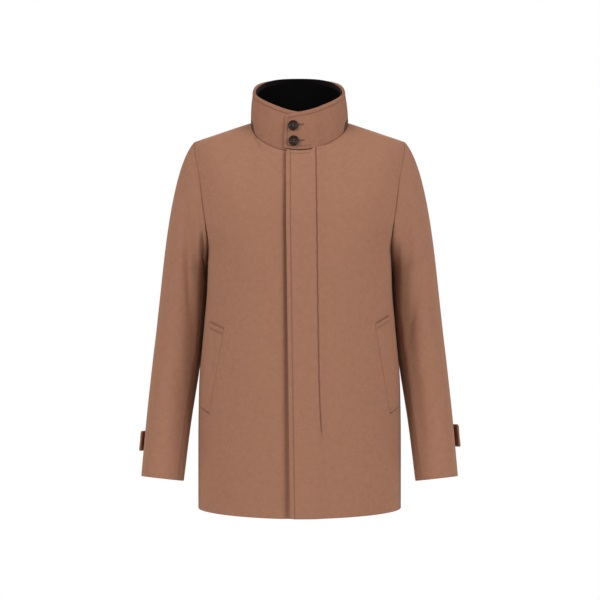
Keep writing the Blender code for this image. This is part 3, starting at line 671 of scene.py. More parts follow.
# relief of the left front by place: a puffed edge, a groove under each stitch line, a step down at the fly;
# with the painted shade in those grooves
def placketRelief(x, z, fromTop):
    form = placket
    fromEdge = x - placketEdge(z)
    stitch = form["edgeStitch"]
    puff = form["puff"] * np.sin(np.clip(fromEdge / stitch, 0, 1) * math.pi)
    edge = bell(fromEdge - stitch, form["grooveWidth"])
    inTop = ease((form["topStitchEnd"] - x) / mm) * ease((fromEdge - stitch) / mm)
    top = bell(fromTop - form["topStitch"], form["grooveWidth"]) * inTop
    foot = form["flyRest"] + (1 - form["flyRest"]) * ease((z - form["flyFoot"]) / form["flyFootFade"])
    fly = bell(x - flyX(z), form["flyWidth"]) * foot * ease((z - form["flyStart"]) / form["flyStartFade"])
    step = form["flyStep"] * ease((flyX(z) - x) / form["stepReach"])
    step = step * ease((z - form["flyFoot"]) / form["stepFade"])
    groove = np.maximum(edge, top)
    relief = puff + step - form["groove"] * groove - form["flyGroove"] * fly
    return relief, np.maximum(form["grooveShade"] * groove, form["flyShade"] * fly)


frontCreases = {
    "left": (
        (0.0600, -0.055, 0.0560, -0.100, 0.0110, -1.2 * mm, -1),
        (0.0900, -0.045, 0.1020, -0.100, 0.0150, -0.9 * mm, -1),
        (0.1580, -0.220, 0.1220, -0.320, 0.0220, -1.2 * mm, -1),
        (0.0800, -0.640, 0.0860, -0.768, 0.0240, -1.2 * mm, -1),
        (0.1400, -0.610, 0.1440, -0.770, 0.0200, 1.0 * mm, -1),
    ),
    "right": (
        (-0.0867, -0.034, -0.0792, -0.057, 0.0032, -3.0 * mm, -1),
        (-0.0560, -0.078, -0.0370, -0.112, 0.0120, -1.8 * mm, -1),
        (-0.0950, -0.050, -0.1050, -0.110, 0.0160, -1.0 * mm, -1),
        (-0.1600, -0.230, -0.1280, -0.330, 0.0220, -1.2 * mm, -1),
        (-0.0700, -0.560, -0.0740, -0.760, 0.0260, -1.4 * mm, -1),
        (-0.1300, -0.600, -0.1360, -0.770, 0.0200, 1.0 * mm, -1),
    ),
}
backCreases = (
    (-0.1550, -0.230, -0.0900, -0.340, 0.0180, -2.2 * mm, 1),
    (0.1500, -0.240, 0.0980, -0.330, 0.0150, -1.8 * mm, 1),
    (-0.0600, -0.020, -0.0400, -0.090, 0.0120, -1.4 * mm, 1),
    (0.0520, -0.024, 0.0360, -0.080, 0.0110, -1.1 * mm, 1),
    (-0.0900, -0.560, -0.1000, -0.770, 0.0240, -2.0 * mm, 1),
    (-0.0200, -0.600, -0.0260, -0.772, 0.0260, 1.8 * mm, 1),
    (0.0560, -0.540, 0.0640, -0.770, 0.0220, -1.8 * mm, 1),
    (0.1220, -0.600, 0.1300, -0.772, 0.0200, 1.4 * mm, 1),
)
seamForm = {
    "valley": 0.45 * mm,
    "valleyWidth": 1.3 * mm,
    "roll": 0.45 * mm,
    "rollAt": 5.0 * mm,
    "rollWidth": 2.6 * mm,
    # strength of the painted shade along each seam's valley
    "paintedShading": 0.13,
    "shoulderSoft": 2.5,  # the shoulder seam's painted shade is this much broader, so the shoulders' top edges read darker
    "quiet": (0.35, -0.085, 0.09),  # share kept at the top, height, reach
}


# a sewn edge: a narrow valley at the seam and a faint roll beside it
def seamRelief(distance):
    roll = seamForm["roll"] * bell(distance - seamForm["rollAt"], seamForm["rollWidth"])
    return roll - seamForm["valley"] * bell(distance, seamForm["valleyWidth"])


# the seam's painted shade: a darker tone in a bell as wide as the valley
def seamMark(distance):
    return seamForm["paintedShading"] * bell(distance, seamForm["valleyWidth"])


# the armhole seam is pressed flat near the shoulder and eases in towards the underarm
def quietTop(z):
    return grownBelow(z, *seamForm["quiet"])


# outer and inner points of half a panel made on the wearer's left, with its painted shade along seams and
# stitch grooves
def panelWalls(topX, hemX, neck, onLeft, creaseTable, side=1):
    atFront, cloth = neck is not None, wall["cloth"]
    angle, rise, lowRows, neckColumns = panelGrid(topX, hemX, neck, onLeft)
    base, normal = body(angle, rise), normalOf(body, angle, rise)
    x, z = base[..., 0], base[..., 2]
    run = edgeDistances(base)
    column = np.arange(base.shape[1])
    shoulder = np.where(column >= neckColumns - 1, run["top"], farOff)
    bend = creases(*sided(side, base, normal), creaseTable)
    relief = quietTop(z) * seamRelief(run["right"]) + seamRelief(shoulder)
    # painted shade along the side, armhole and shoulder seams
    paintedShading = np.maximum(quietTop(z) * seamMark(run["right"]), seamMark(shoulder / seamForm["shoulderSoft"]))
    folded = foldedEdge(run["foot"], cloth)
    if atFront:
        folded = np.maximum(folded, foldedEdge(run["left"], cloth))
    if onLeft:
        extra, line = placketRelief(x, z, run["top"])
        relief = relief + extra + lapLift(x)
        paintedShading = np.maximum(paintedShading, line)
        folded = np.maximum(folded, foldedEdge(np.where(x < lap["flatX"], run["top"], farOff), cloth))
    else:
        paintedShading = np.maximum(paintedShading, seamMark(np.where(column < neckColumns, run["top"], farOff)))
    if atFront and not onLeft:
        press = lap["underPress"] * grownBelow(z, *lap["pressGrows"])
        bend = bend - press * bell(x - lap["underX"], lap["underReach"])
    gap = (-1 if atFront else 1) * wall["seamGap"] / 2
    base[: lowRows + 1, -1, 1] += gap
    base[-1, neckColumns - 1 :, 1] += gap
    base = moved(base, normal, bend)
    lift = lapLift(base[..., 0]) if onLeft else 0.0
    outer, inner = moved(base, normal, relief - folded), moved(base, -normal, cloth - folded - lift)
    return *sided(side, outer, inner), paintedShading


for hand, side in sides.items():
    edges = lap[hand + "TopX"], lap[hand + "HemX"]
    front = panelWalls(*edges, neckCut[hand], hand == "left", frontCreases[hand], side)
    addShell(hand + "Front", *front, wool, "front_" + hand, "wool")


# the back is two mirrored halves that share the mean of their centre columns
def backWalls():
    left, right = (panelWalls(0.0, 0.0, None, False, backCreases, side) for side in (1, -1))
    middle = (left[0][:, :1] + right[0][:, :1]) / 2
    outer = np.concatenate([right[0][:, :0:-1], middle, left[0][:, 1:]], axis=1)
    return outer, *(np.concatenate([right[i][:, :0:-1], left[i]], axis=1) for i in (1, 2))


addShell("backPanel", *backWalls(), wool, "back", "wool")


# sleeves
sleeveCut = {
    "height": (-0.711, -0.600, -0.500, -0.416, -0.300),  # cuff to upper arm
    "outer": (0.3150, 0.3065, 0.2970, 0.2875, 0.2750),
    "inner": (0.2300, 0.2172, 0.2022, 0.1903, 0.1838),
    "centreY": (-0.022, 0.002, 0.020, 0.026, 0.026),
    "halfDepth": (0.053, 0.060, 0.067, 0.072, 0.077),
    "tilt": (6.5, 6.0, 5.0, 4.0, 3.0),
    "bulk": 2.2,
    "foot": -0.711,
    "head": -0.300,
    "foreSeam": 140.0,
    "hindSeam": 280.0,
    "radius": 0.050,
    "mitre": 0.6,
    "mitreFade": 0.5,
    "gapShare": 0.9,  # of the seam gap, left open at the armhole
    "gapFade": 0.05,
    "creaseFade": 0.3,
    "foldFade": 0.2,
    "level": 0.0885,  # rise of the cuff's front by its depth
    "levelReach": 0.070,
}
sleeveMesh = {
    "turnStep": 2.3,
    "turnDifference": 1e-3,
    "cap": (0.016, 0.24),  # step, length
    "arm": (0.0095, 0.41),
    "inside": 0.004,  # normals are taken this far in from the two ends
}
capCut = {"out": 0.42, "outSwing": 0.27, "ahead": 0.12, "reach": 0.28, "reachSwing": 0.09, "pull": 0.36}
sleeveFolds = (
    {"height": -0.420, "turn": 125, "halfHeight": 0.055, "halfTurn": 30, "depth": 4.0 * mm},
    {"height": -0.500, "turn": 95, "halfHeight": 0.050, "halfTurn": 30, "depth": -2.0 * mm},
)
sleeveCreases = {
    "left": (
        (0.2000, -0.240, 0.2030, -0.390, 0.0055, 2.4 * mm, -1),
        (0.2020, -0.370, 0.2345, -0.650, 0.0050, 2.2 * mm, -1),
        (0.2190, -0.410, 0.2440, -0.640, 0.0110, -1.8 * mm, -1),
        (0.2560, -0.245, 0.2160, -0.425, 0.0080, -3.7 * mm, -1, 0.004),
        (0.2330, -0.330, 0.2060, -0.450, 0.0070, 1.8 * mm, -1),
        (0.2230, -0.210, 0.2130, -0.290, 0.0060, -1.6 * mm, -1),
        (0.2640, -0.400, 0.2480, -0.500, 0.0090, -1.2 * mm, -1),
        (0.2620, -0.300, 0.2280, -0.400, 0.0090, -2.2 * mm, 1),
        (0.2760, -0.430, 0.2320, -0.470, 0.0080, -2.0 * mm, 1),
    ),
    "right": (
        (-0.1955, -0.215, -0.2090, -0.480, 0.0060, 3.6 * mm, -1),
        (-0.1945, -0.180, -0.1875, -0.290, 0.0045, -6.0 * mm, -1),
        (-0.2250, -0.170, -0.2180, -0.370, 0.0070, -3.6 * mm, -1),
        (-0.2260, -0.470, -0.2430, -0.640, 0.0130, -1.5 * mm, -1),
        (-0.2420, -0.180, -0.2400, -0.330, 0.0100, 1.0 * mm, -1),
        (-0.2480, -0.420, -0.2360, -0.560, 0.0100, -1.2 * mm, -1),
        (-0.2600, -0.290, -0.2240, -0.380, 0.0090, -2.0 * mm, 1),
        (-0.2780, -0.440, -0.2360, -0.490, 0.0080, -1.8 * mm, 1),
    ),
}


# superellipse ring of a sleeve at a height, tilted, its front raised at the cuff
# turn is 0 outside, 90 degrees in front, 180 inside
def armRing(turn, height):
    cut = sleeveCut
    outer, inner = through(cut, "outer", height), through(cut, "inner", height)
    tilt = np.radians(through(cut, "tilt", height))
    size = superRadius(turn, 1, 1, cut["bulk"])
    wide = (outer - inner) / 2 * np.cos(turn) * size
    deep = through(cut, "halfDepth", height) * np.sin(turn) * size
    x = (outer + inner) / 2 + wide * np.cos(tilt)
    y = through(cut, "centreY", height) - deep
    low = ease((cut["foot"] + cut["levelReach"] - height) / cut["levelReach"])
    level = cut["level"] * np.maximum(deep, 0) * low
    return np.stack([x, y, height + wide * np.sin(tilt) + level], axis=-1)


# cap: cubic curves from the armhole to the upper arm; arm: rings down to the cuff, pressed in by the folds
# along is 0 at the armhole, 1 at the upper arm and 2 at the cuff; this is the left arm
def sleeve(turn, along):
    turn, along = np.asarray(turn, float), np.asarray(along, float)
    head, foot = sleeveCut["head"], sleeveCut["foot"]
    height = head + (foot - head) * np.clip(along - 1, 0, 1)
    start = body(*armhole(turn))
    upper = armRing(turn, np.full_like(turn, head))
    down = unit(armRing(turn, np.full_like(turn, head - mm)) - upper)
    leaveX = capCut["out"] + capCut["outSwing"] * np.cos(turn)
    leaveY = -capCut["ahead"] * np.sin(turn)
    leave = np.stack([leaveX, leaveY, -np.sqrt(1 - leaveX**2 - leaveY**2)], axis=-1)
    reach = np.linalg.norm(upper - start, axis=-1, keepdims=True)
    push = (capCut["reach"] - capCut["reachSwing"] * np.cos(turn))[..., None] * reach
    s = np.clip(along, 0, 1)[..., None]
    cap = (1 - s) ** 3 * start + 3 * (1 - s) ** 2 * s * (start + push * leave)
    cap = cap + 3 * (1 - s) * s * s * (upper - capCut["pull"] * reach * down) + s**3 * upper
    point = np.where(along[..., None] < 1, cap, armRing(turn, height))
    middle = (through(sleeveCut, "outer", height) + through(sleeveCut, "inner", height)) / 2
    inward = np.stack([middle - point[..., 0], -point[..., 1], np.zeros_like(point[..., 0])], axis=-1)
    pressed = np.zeros(point.shape[:-1])
    for fold in sleeveFolds:
        off = ((np.degrees(turn) - fold["turn"] + 180) % 360 - 180) / fold["halfTurn"]
        pressed = pressed + fold["depth"] * bell(off, 1.0) * bell(height - fold["height"], fold["halfHeight"])
    return moved(point, unit(inward), pressed * np.clip((along - 1) / sleeveCut["foldFade"], 0, 1))


# direction square to the armhole oval seen from the side
def armholeEdge(turn):
    reach = np.where(np.sin(turn) >= 0, armholeCut["front"], armholeCut["back"])
    half = (shoulderHeight(yokeCut["tipX"]) - bodyCut["underarm"]) / 2
    return unit(np.stack([np.zeros_like(turn), -np.sin(turn) / reach, np.cos(turn) / half], axis=-1))


# outer and inner points of a sleeve piece between two turns: the sleeve, creased, and a wall in from it
def sleeveWalls(firstTurn, lastTurn, hand):
    cut, mesh, side = sleeveCut, sleeveMesh, sides[hand]
    nudge = wall["seamGap"] / cut["radius"]
    first, last = math.radians(firstTurn) + nudge, math.radians(lastTurn) - nudge
    turn = places(first, last, math.radians(mesh["turnStep"]), cut["radius"])[None, :]
    cap = places(0.0, 1.0, *mesh["cap"], fineLast=False)
    arm = places(1.0, 2.0, *mesh["arm"], fineFirst=False)
    along = np.concatenate([cap, arm[1:]])[:, None]
    base = sleeve(turn, along)
    normal = normalOf(sleeve, turn, np.clip(along, mesh["inside"], 2 - mesh["inside"]))
    edge = np.broadcast_to(armholeEdge(turn), normal.shape)
    top, step = np.zeros((1, 1)), mesh["turnDifference"]
    tangent = unit(sleeve(turn + step, top) - sleeve(turn - step, top))
    apart = np.cross(tangent, edge[:1])
    apart = unit(apart * np.sign(apart[..., :1]))
    edge = unit(edge + cut["mitre"] * (np.sin(turn) ** 2)[..., None] * apart)
    inward = unit(moved(edge, normal - edge, ease(along / cut["mitreFade"])))
    base = base + cut["gapShare"] * wall["seamGap"] * apart * (1 - ease(along / cut["gapFade"]))[..., None]
    run = edgeDistances(base)
    bend = creases(*sided(side, base, normal), sleeveCreases[hand]) * ease(along / cut["creaseFade"])
    quiet = quietTop(base[..., 2])
    relief = seamRelief(run["left"]) + seamRelief(run["right"]) + quiet * seamRelief(run["foot"])
    # painted shade along the seams
    paintedShading = np.maximum(seamMark(np.minimum(run["left"], run["right"])), quiet * seamMark(run["foot"]))
    folded = foldedEdge(run["top"], wall["cloth"])
    base = moved(base, normal, bend)
    outer, inner = moved(base, normal, relief - folded), moved(base, -inward, wall["cloth"] - folded)
    return *sided(side, outer, inner), paintedShading


for hand in sides:
    fore, hind = sleeveCut["foreSeam"], sleeveCut["hindSeam"]
    addShell(hand + "TopSleeve", *sleeveWalls(hind - 360, fore, hand), wool, f"sleeve_{hand}_top", "wool")
    addShell(hand + "UnderSleeve", *sleeveWalls(fore, hind, hand), wool, f"sleeve_{hand}_under", "wool")


# collar
collarCut = {
    "rimX": -0.0015,
    "rimHalfWidth": 0.0908,
    "rimFront": 0.063,
    "rimBack": 0.073,
    "frontBulk": 1.75,
    "backBulk": 2.5,
    "frontHeight": 0.0145,
    "backHeight": 0.0918,
    "easePower": 0.62,
    "easeFrom": 0.02,
    "lapFrom": 2.2,  # along the path
    "lapDrop": 0.0115,
    "lapDropX": 0.010,
    "bulge": 0.002,
    "endX": -0.0300,
    "foot": 0.003,
    "corner": 7.0 * mm,
    "fold": 2.6 * mm,
    "roll": 2.6 * mm,
    "rollReach": 7.0 * mm,
    "napeReach": 0.6,
    "standFrom": 69.0,
    "standTo": 77.0,
    "standLeast": 0.21,
    "standShare": 0.42,
    "standGap": 0.004,
    "rimStitch": 9.0 * mm,
    "endStitch": 7.0 * mm,
    "footStitch": 7.0 * mm,
    "boxEndX": 0.0215,
    "puff": 0.9 * mm,
    "groove": 0.55 * mm,
    "grooveWidth": 1.0 * mm,
    # strength of the painted shade in the stitching's grooves
    "grooveShade": 0.35,
    "seamShare": 0.4,
    "underPress": 0.9 * mm,
    "underX": -0.036,
    "underReach": 0.016,
}
collarMesh = {
    "right": (0.0145, 0.10),  # step, length
    "back": 130,
    "left": (0.0115, 0.13),
    "rowStep": 0.8 * mm,
    "footFine": 9.5 * mm,
    "footRows": (11 * mm, 13.5 * mm),
    "topRows": (16 * mm, 13.5 * mm),
    "topFine": 12 * mm,
    "middleRows": 16,
    "inside": 0.01,  # normals are taken this far in from neckline and rim
}


# rim: a superellipse seen from above, climbing from front to back by a power curve
def rimAbove(base):
    cut, axisY = collarCut, neckCut["axisY"]
    angle = np.arctan2(base[..., 0], -(base[..., 1] - axisY))
    atFront = np.cos(angle) > 0
    bulk = np.where(atFront, cut["frontBulk"], cut["backBulk"])
    radius = superRadius(angle, cut["rimHalfWidth"], np.where(atFront, cut["rimFront"], cut["rimBack"]), bulk)
    rimY = axisY - radius * np.cos(angle)
    share = np.clip((rimY - axisY + cut["rimFront"]) / (cut["rimFront"] + cut["rimBack"]), 0, 1)
    start = cut["easeFrom"] ** cut["easePower"]
    finish = (1 + cut["easeFrom"]) ** cut["easePower"]
    climb = ((share + cut["easeFrom"]) ** cut["easePower"] - start) / (finish - start)
    rimZ = cut["frontHeight"] + (cut["backHeight"] - cut["frontHeight"]) * climb
    return np.stack([cut["rimX"] + radius * np.sin(angle), rimY, rimZ], axis=-1)


# level direction out from the neck's axis, and how far the lapped end is lifted that way
def lapped(path, base):
    away = unit(base * [1, 1, 0] - [0, neckCut["axisY"], 0])
    return away, np.where(path > 2, lapLift(base[..., 0]), 0.0)


# neckline point: path runs from the right front end at -1 round the back to the left front past 3
def neckBase(path):
    onBack = (path >= 0) & (path <= 2)
    rightSwing = -1 - np.minimum(path, 0) * (1 - neckSwing(lap["rightTopX"], neckCut["right"][1]))
    leftSwing = 1 - np.maximum(path - 2, 0) * (1 - neckSwing(lap["leftTopX"], neckCut["left"][1]))
    right = body(*frontNeckline(rightSwing, neckCut["right"]))
    left = body(*frontNeckline(leftSwing, neckCut["left"]))
    back = body(*backNeckline(np.clip(path - 1, -1, 1)))
    base = np.where(onBack[..., None], back, np.where((path < 0)[..., None], right, left))
    return moved(base, *lapped(path, base))


# straight lines from neckline to rim, swelled a little halfway; high is 0 at the neckline, 1 at the rim
def collar(path, high):
    path, high = np.asarray(path, float), np.asarray(high, float)
    base = neckBase(path)
    rim = rimAbove(base)
    end = np.clip((collarCut["lapDropX"] - base[..., 0]) / (collarCut["lapDropX"] - collarCut["endX"]), 0, 1)
    rim[..., 2] -= np.where(path > 2, collarCut["lapDrop"] * end**2, 0.0)
    away, lift = lapped(path, base)
    swell = collarCut["bulge"] * 4 * high * (1 - high) + lift * high
    return moved(base + (rim - base) * high[..., None], away, swell)


# the collar's direction outwards, taken a little inside its edges
def collarNormal(path, high):
    return -normalOf(collar, path, np.clip(high, collarMesh["inside"], 1 - collarMesh["inside"]))


# distance from neckline to rim
def collarTall(path):
    return np.linalg.norm(collar(path, np.ones_like(path)) - collar(path, np.zeros_like(path)), axis=-1)


# path of the left neckline's point at a distance from the centre line
def leftPath(x):
    edge = neckSwing(lap["leftTopX"], neckCut["left"][1])
    return 2 + (1 - neckSwing(np.asarray(x, float), neckCut["left"][1])) / (1 - edge)


# share of the height that is felt: a quarter sine from shoulder seam to nape, blunt at its ends
def standShare(path):
    cut, base = collarCut, neckBase(path)
    angle = np.degrees(np.abs(np.arctan2(base[..., 0], neckCut["axisY"] - base[..., 1])))
    share = np.clip((angle - cut["standFrom"]) / (180 - cut["standFrom"]), 0, 1)
    least = cut["standLeast"] * ramp(angle, cut["standFrom"], cut["standTo"])
    return np.maximum(cut["standShare"] * np.sin(share * quarter), least)


# the rim rolls inwards: a bell of the distance from the top, none at the nape
def rimRoll(fromTop, path):
    cut = collarCut
    return cut["roll"] * bell(fromTop, cut["rollReach"]) * (1 - bell(path - 1, cut["napeReach"]))


# columns of the collar, crowded at its two ends
def collarPath():
    mesh = collarMesh
    right = places(-1.0, 0.0, *mesh["right"], fineLast=False)
    back = np.linspace(0, 2, mesh["back"])[1:]
    left = places(2.0, float(leftPath(collarCut["endX"])), *mesh["left"], fineFirst=False)[1:]
    return np.concatenate([right, back, left])


# swelling between an edge and its stitching: half a sine
def puffed(distance, stitch):
    return collarCut["puff"] * np.sin(np.clip(distance / stitch, 0, 1) * math.pi)


# the collar plus its puffed edges, less the grooves of its stitching and its folded edges
def collarWalls():
    cut, mesh, thick = collarCut, collarMesh, wall["collar"]
    path = collarPath()[None, :]
    tall = collarTall(path)
    run = edgeDistances(collar(path, np.full((1, 1), 0.5)))
    fromEnd = run["right"]
    onLap = path > cut["lapFrom"]
    stand = standShare(path)
    foot = np.maximum(cut["foot"], np.where(stand > cut["standGap"], stand + cut["standGap"], 0.0))
    head = 1 - np.where(onLap, quarterRound(fromEnd, cut["corner"]), 0.0) / tall
    fine = places(0.0, mesh["footFine"], mesh["rowStep"], fineLast=False)
    lower = foot + np.concatenate([fine, mesh["footRows"]])[:, None] / tall
    fine = places(-mesh["topFine"], 0.0, mesh["rowStep"], fineFirst=False) * -1
    upper = head - np.concatenate([mesh["topRows"], fine])[:, None] / tall
    share = np.linspace(0, 1, mesh["middleRows"])[1:-1, None]
    high = np.concatenate([lower, lower[-1:] + (upper[:1] - lower[-1:]) * share, upper])
    base, normal = collar(path, high), collarNormal(path, high)
    fromTop, fromFoot = (head - high) * tall, (high - foot) * tall
    onBase = neckBase(path)[..., 0]
    flat = onLap & (onBase < lap["flatX"])
    inRim = ~onLap | (fromEnd >= cut["endStitch"])
    inEnd = onLap & (fromTop > cut["rimStitch"]) & (fromFoot > cut["footStitch"])
    inBox = onLap & (fromEnd > cut["endStitch"]) & (onBase < cut["boxEndX"])
    inSide = onLap & (fromFoot < cut["footStitch"])
    line = np.zeros_like(high)
    for within, distance in (
        (inRim, fromTop - cut["rimStitch"]),
        (inEnd, fromEnd - cut["endStitch"]),
        (inBox, fromFoot - cut["footStitch"]),
        (inSide, onBase - cut["boxEndX"]),
    ):
        line = np.maximum(line, np.where(within, bell(distance, cut["grooveWidth"]), 0.0))
    endPuff = np.where(onLap, puffed(fromEnd, cut["endStitch"]), 0.0)
    puff = np.maximum(puffed(fromTop, cut["rimStitch"]), endPuff)
    ends = np.where(path > 1, run["right"], run["left"])
    folded = np.maximum(foldedEdge(fromTop, thick, cut["fold"]), foldedEdge(ends, thick))
    folded = np.maximum(folded, np.where(flat, foldedEdge(fromFoot, thick), 0.0))
    sewn = np.where(flat, 0.0, 1.0)
    relief = puff - cut["groove"] * line + cut["seamShare"] * sewn * seamRelief(fromFoot)
    under = np.where(path < 0, cut["underPress"] * bell(onBase - cut["underX"], cut["underReach"]), 0.0)
    outer = moved(moved(base, normal, relief - folded), -normal, under)
    roll = rimRoll(fromTop, path)
    inner = moved(base, -normal, thick + under + roll - 2 * folded * (1 + roll / thick))
    # the collar's painted shade lies in its stitch grooves
    return outer, inner, np.broadcast_to(cut["grooveShade"] * line, outer.shape[:2])


addShell("standCollar", *collarWalls(), shadedCollarWool, "collar", "wool")

standCut = {
    "path": (-0.5, 2.5, 220),
    "least": 0.012,
    "leastHigh": 0.004,
    "rows": (0.09, 0.03),  # step, length
    "seamShare": 0.5,
}


# felt crescent between the neck seam and the collar's raised foot at the back
def standWalls():
    cut, foot = standCut, collarCut["foot"]
    path = np.linspace(*cut["path"])
    path = path[standShare(path) > cut["least"]][None, :]
    head = np.maximum(standShare(path) - collarCut["standGap"], foot + cut["leastHigh"])
    high = foot + (head - foot) * places(0.0, 1.0, *cut["rows"])[:, None]
    base, normal = collar(path, high), collarNormal(path, high)
    fromFoot = edgeDistances(base)["foot"]
    outer = moved(base, normal, seamRelief(fromFoot) * cut["seamShare"])
    return outer, moved(base, -normal, wall["collar"]), seamMark(fromFoot)


addShell("standFelt", *standWalls(), felt, "collar_stand_back", "felt")

liningCut = {
    "foot": 0.07,
    "top": 0.965,
    "backTop": 0.055,
    "backReach": 0.75,
    "edgeX": 0.036,
    "gap": 0.0010,
    "fold": 2.8 * mm,
    "rows": (0.03, 0.08),  # step, length
    "rib": 0.45 * mm,
    "ribPitch": 4.5 * mm,
    "ribBand": 0.012,
    "ribFade": 3 * mm,
    "tuft": 0.4 * mm,
    "tuftPitch": 3.2 * mm,
    "tuftFade": 4 * mm,
    "tuftBend": ((1.7, 0.43), (1.3, 0.57)),  # how far each sine is bent by the other, and how often
}


# pile lining: the collar moved in by its wall, ribbed near the top, with tufts as products of bent sines
def liningWalls():
    cut, thick, path = liningCut, wall["pile"], collarPath()
    x = neckBase(path)[:, 0]
    lined = (np.abs(path - 1) <= 0.5) | ((path < 1) & (x < -cut["edgeX"])) | ((path > 1) & (x > cut["edgeX"]))
    path = path[lined][None, :]
    back = bell(path - 1, cut["backReach"])
    top = cut["top"] + cut["backTop"] * back
    high = cut["foot"] + (top - cut["foot"]) * places(0.0, 1.0, *cut["rows"])[:, None]
    surface, normal = collar(path, high), collarNormal(path, high)
    run = edgeDistances(surface)
    band = ease((cut["ribBand"] - run["top"]) / cut["ribFade"]) * (1 - back)
    rib = cut["rib"] * np.sin(run["left"] / cut["ribPitch"] * 2 * math.pi) * band
    ends = np.minimum(run["left"], run["right"])
    folded = np.maximum(foldedEdge(run["top"], thick, cut["fold"]), foldedEdge(ends, thick))
    u, v = (run[key] / cut["tuftPitch"] * 2 * math.pi for key in ("left", "foot"))
    (bendU, oftenU), (bendV, oftenV) = cut["tuftBend"]
    tuft = cut["tuft"] * np.sin(u + bendU * np.sin(oftenU * v)) * np.sin(v + bendV * np.sin(oftenV * u))
    rib = rib + tuft * ease(run["top"] / cut["tuftFade"])
    depth = wall["collar"] + cut["gap"] + rimRoll((1 - high) * run["foot"][-1:] / top, path)
    outer = moved(surface, -normal, depth + folded)
    # the rib band doubles as the mask of the pile's painted sheen
    return outer, moved(surface, -normal, depth + thick + rib - folded), band


addShell("pileLining", *liningWalls(), pile, "collar_lining", "pile")

# pocket welts: corners on the front as (distance from the centre line, height)
weltCut = {
    "left": {"topFront": (0.1470, -0.4015), "topBack": (0.1755, -0.3855)},
    "right": {"topFront": (0.1475, -0.4105), "topBack": (0.1765, -0.3980)},
    "footFront": (0.1775, -0.5790),
    "footBack": (0.1965, -0.5660),
    "wall": 0.0026,
    "gap": 0.0003,
    "down": (0.016, 0.175),  # step, length
    "across": (0.045, 0.030),
    "endStitch": 10.8 * mm,
    "stitchWidth": 1.2 * mm,
    "stitchDepth": 1.2 * mm,
    "topShare": 0.3,  # the top's stitching is pulled less deep
    "stitchInset": 1.5 * mm,
    "sideTaper": 8.0 * mm,
    "sideWall": 0.12,
    # strength of the painted shade in the end stitching's grooves
    "lineShade": 0.95,
    "footMark": (0.80, 0.0, 1.2 * mm),  # strength, distance in and width of the painted shadow along an edge
    "topMark": (0.95, 1.2 * mm, 1.5 * mm),
    "rightMark": (0.30, 0.0, 1.4 * mm),
}


# a welt's corners: its own top and the foot that both share, as arrays
def weltCorners(hand):
    corner = {**weltCut, **weltCut[hand]}
    return {key: np.array(corner[key]) for key in ("topFront", "topBack", "footFront", "footBack")}


# point and direction of the front at a place seen from the front
def frontAt(x, z):
    rise = np.where(z > bodyCut["chest"], yokeRise(x, z, True), riseAt(z))
    angle = angleAt(x, z, True)
    return body(angle, rise), normalOf(body, angle, rise)


# a four-cornered patch of the front, moved out; its long sides thin down where they are sewn flat
def weltWalls(hand):
    cut, corner = weltCut, weltCorners(hand)
    down = places(0.0, 1.0, *cut["down"])[:, None, None]
    across = places(0.0, 1.0, *cut["across"])[None, :, None]
    top = (1 - across) * corner["topFront"] + across * corner["topBack"]
    foot = (1 - across) * corner["footFront"] + across * corner["footBack"]
    place = (1 - down) * top + down * foot
    base, normal = frontAt(place[..., 0], place[..., 1])
    run = edgeDistances(base)
    ends, around = np.minimum(run["foot"], run["top"]), np.minimum(run["left"], run["right"])
    line, topLine = (bell(run[key] - cut["endStitch"], cut["stitchWidth"]) for key in ("foot", "top"))
    line = (line + cut["topShare"] * topLine) * ease((around - cut["stitchInset"]) / mm)
    thick = cut["wall"] * (cut["sideWall"] + (1 - cut["sideWall"]) * ease(around / cut["sideTaper"]))
    folded = np.maximum(foldedEdge(ends, thick), foldedEdge(around, thick))
    outer = moved(base, normal, cut["gap"] + thick - cut["stitchDepth"] * line - folded)
    # painted shade in the stitch grooves, then painted shadow along the foot, top and back edges
    paintedShading = cut["lineShade"] * line
    for key in ("foot", "top", "right"):
        strength, inset, width = cut[key + "Mark"]
        paintedShading = np.maximum(paintedShading, strength * bell(run[key] - inset, width))
    return *sided(sides[hand], outer, moved(base, normal, cut["gap"])), paintedShading


for hand in sides:
    addShell(hand + "Welt", *weltWalls(hand), wool, "pocket_welt_" + hand, "wool")

# cuff tabs: straps sewn in at the hind seam, standing off the sleeve towards the buttoned end
tabCut = {
    "length": 0.075,
    "seamTurn": -76.0,
    "endTurn": -4.0,
    "wall": 0.0045,
    "runStep": 0.045,
    "acrossStep": 0.05,
    "stitch": 5.0 * mm,
    "grooveWidth": 1.0 * mm,
    "groove": 0.4 * mm,
    # strength of the painted shade in the stitch groove
    "grooveShade": 0.4,
    "fold": 2.6 * mm,
    "corner": 4.0 * mm,
    "left": {"middle": -0.6325, "width": 0.0445, "standOff": 0.0066},
    "right": {"middle": -0.643, "width": 0.0395, "standOff": 0.0048},
}


# point off a tab's inner face and its direction, by run, 0 at the seam to 1 at the end, and height
def tabPoint(hand, run, height, off):
    turn = np.radians(tabCut["seamTurn"] + (tabCut["endTurn"] - tabCut["seamTurn"]) * run)
    along = 1 + (height - sleeveCut["head"]) / (sleeveCut["foot"] - sleeveCut["head"])
    normal = normalOf(sleeve, turn, along)
    stand = wall["layGap"] + tabCut[hand]["standOff"] * run**2 + off
    return moved(sleeve(turn, along), normal, stand), normal


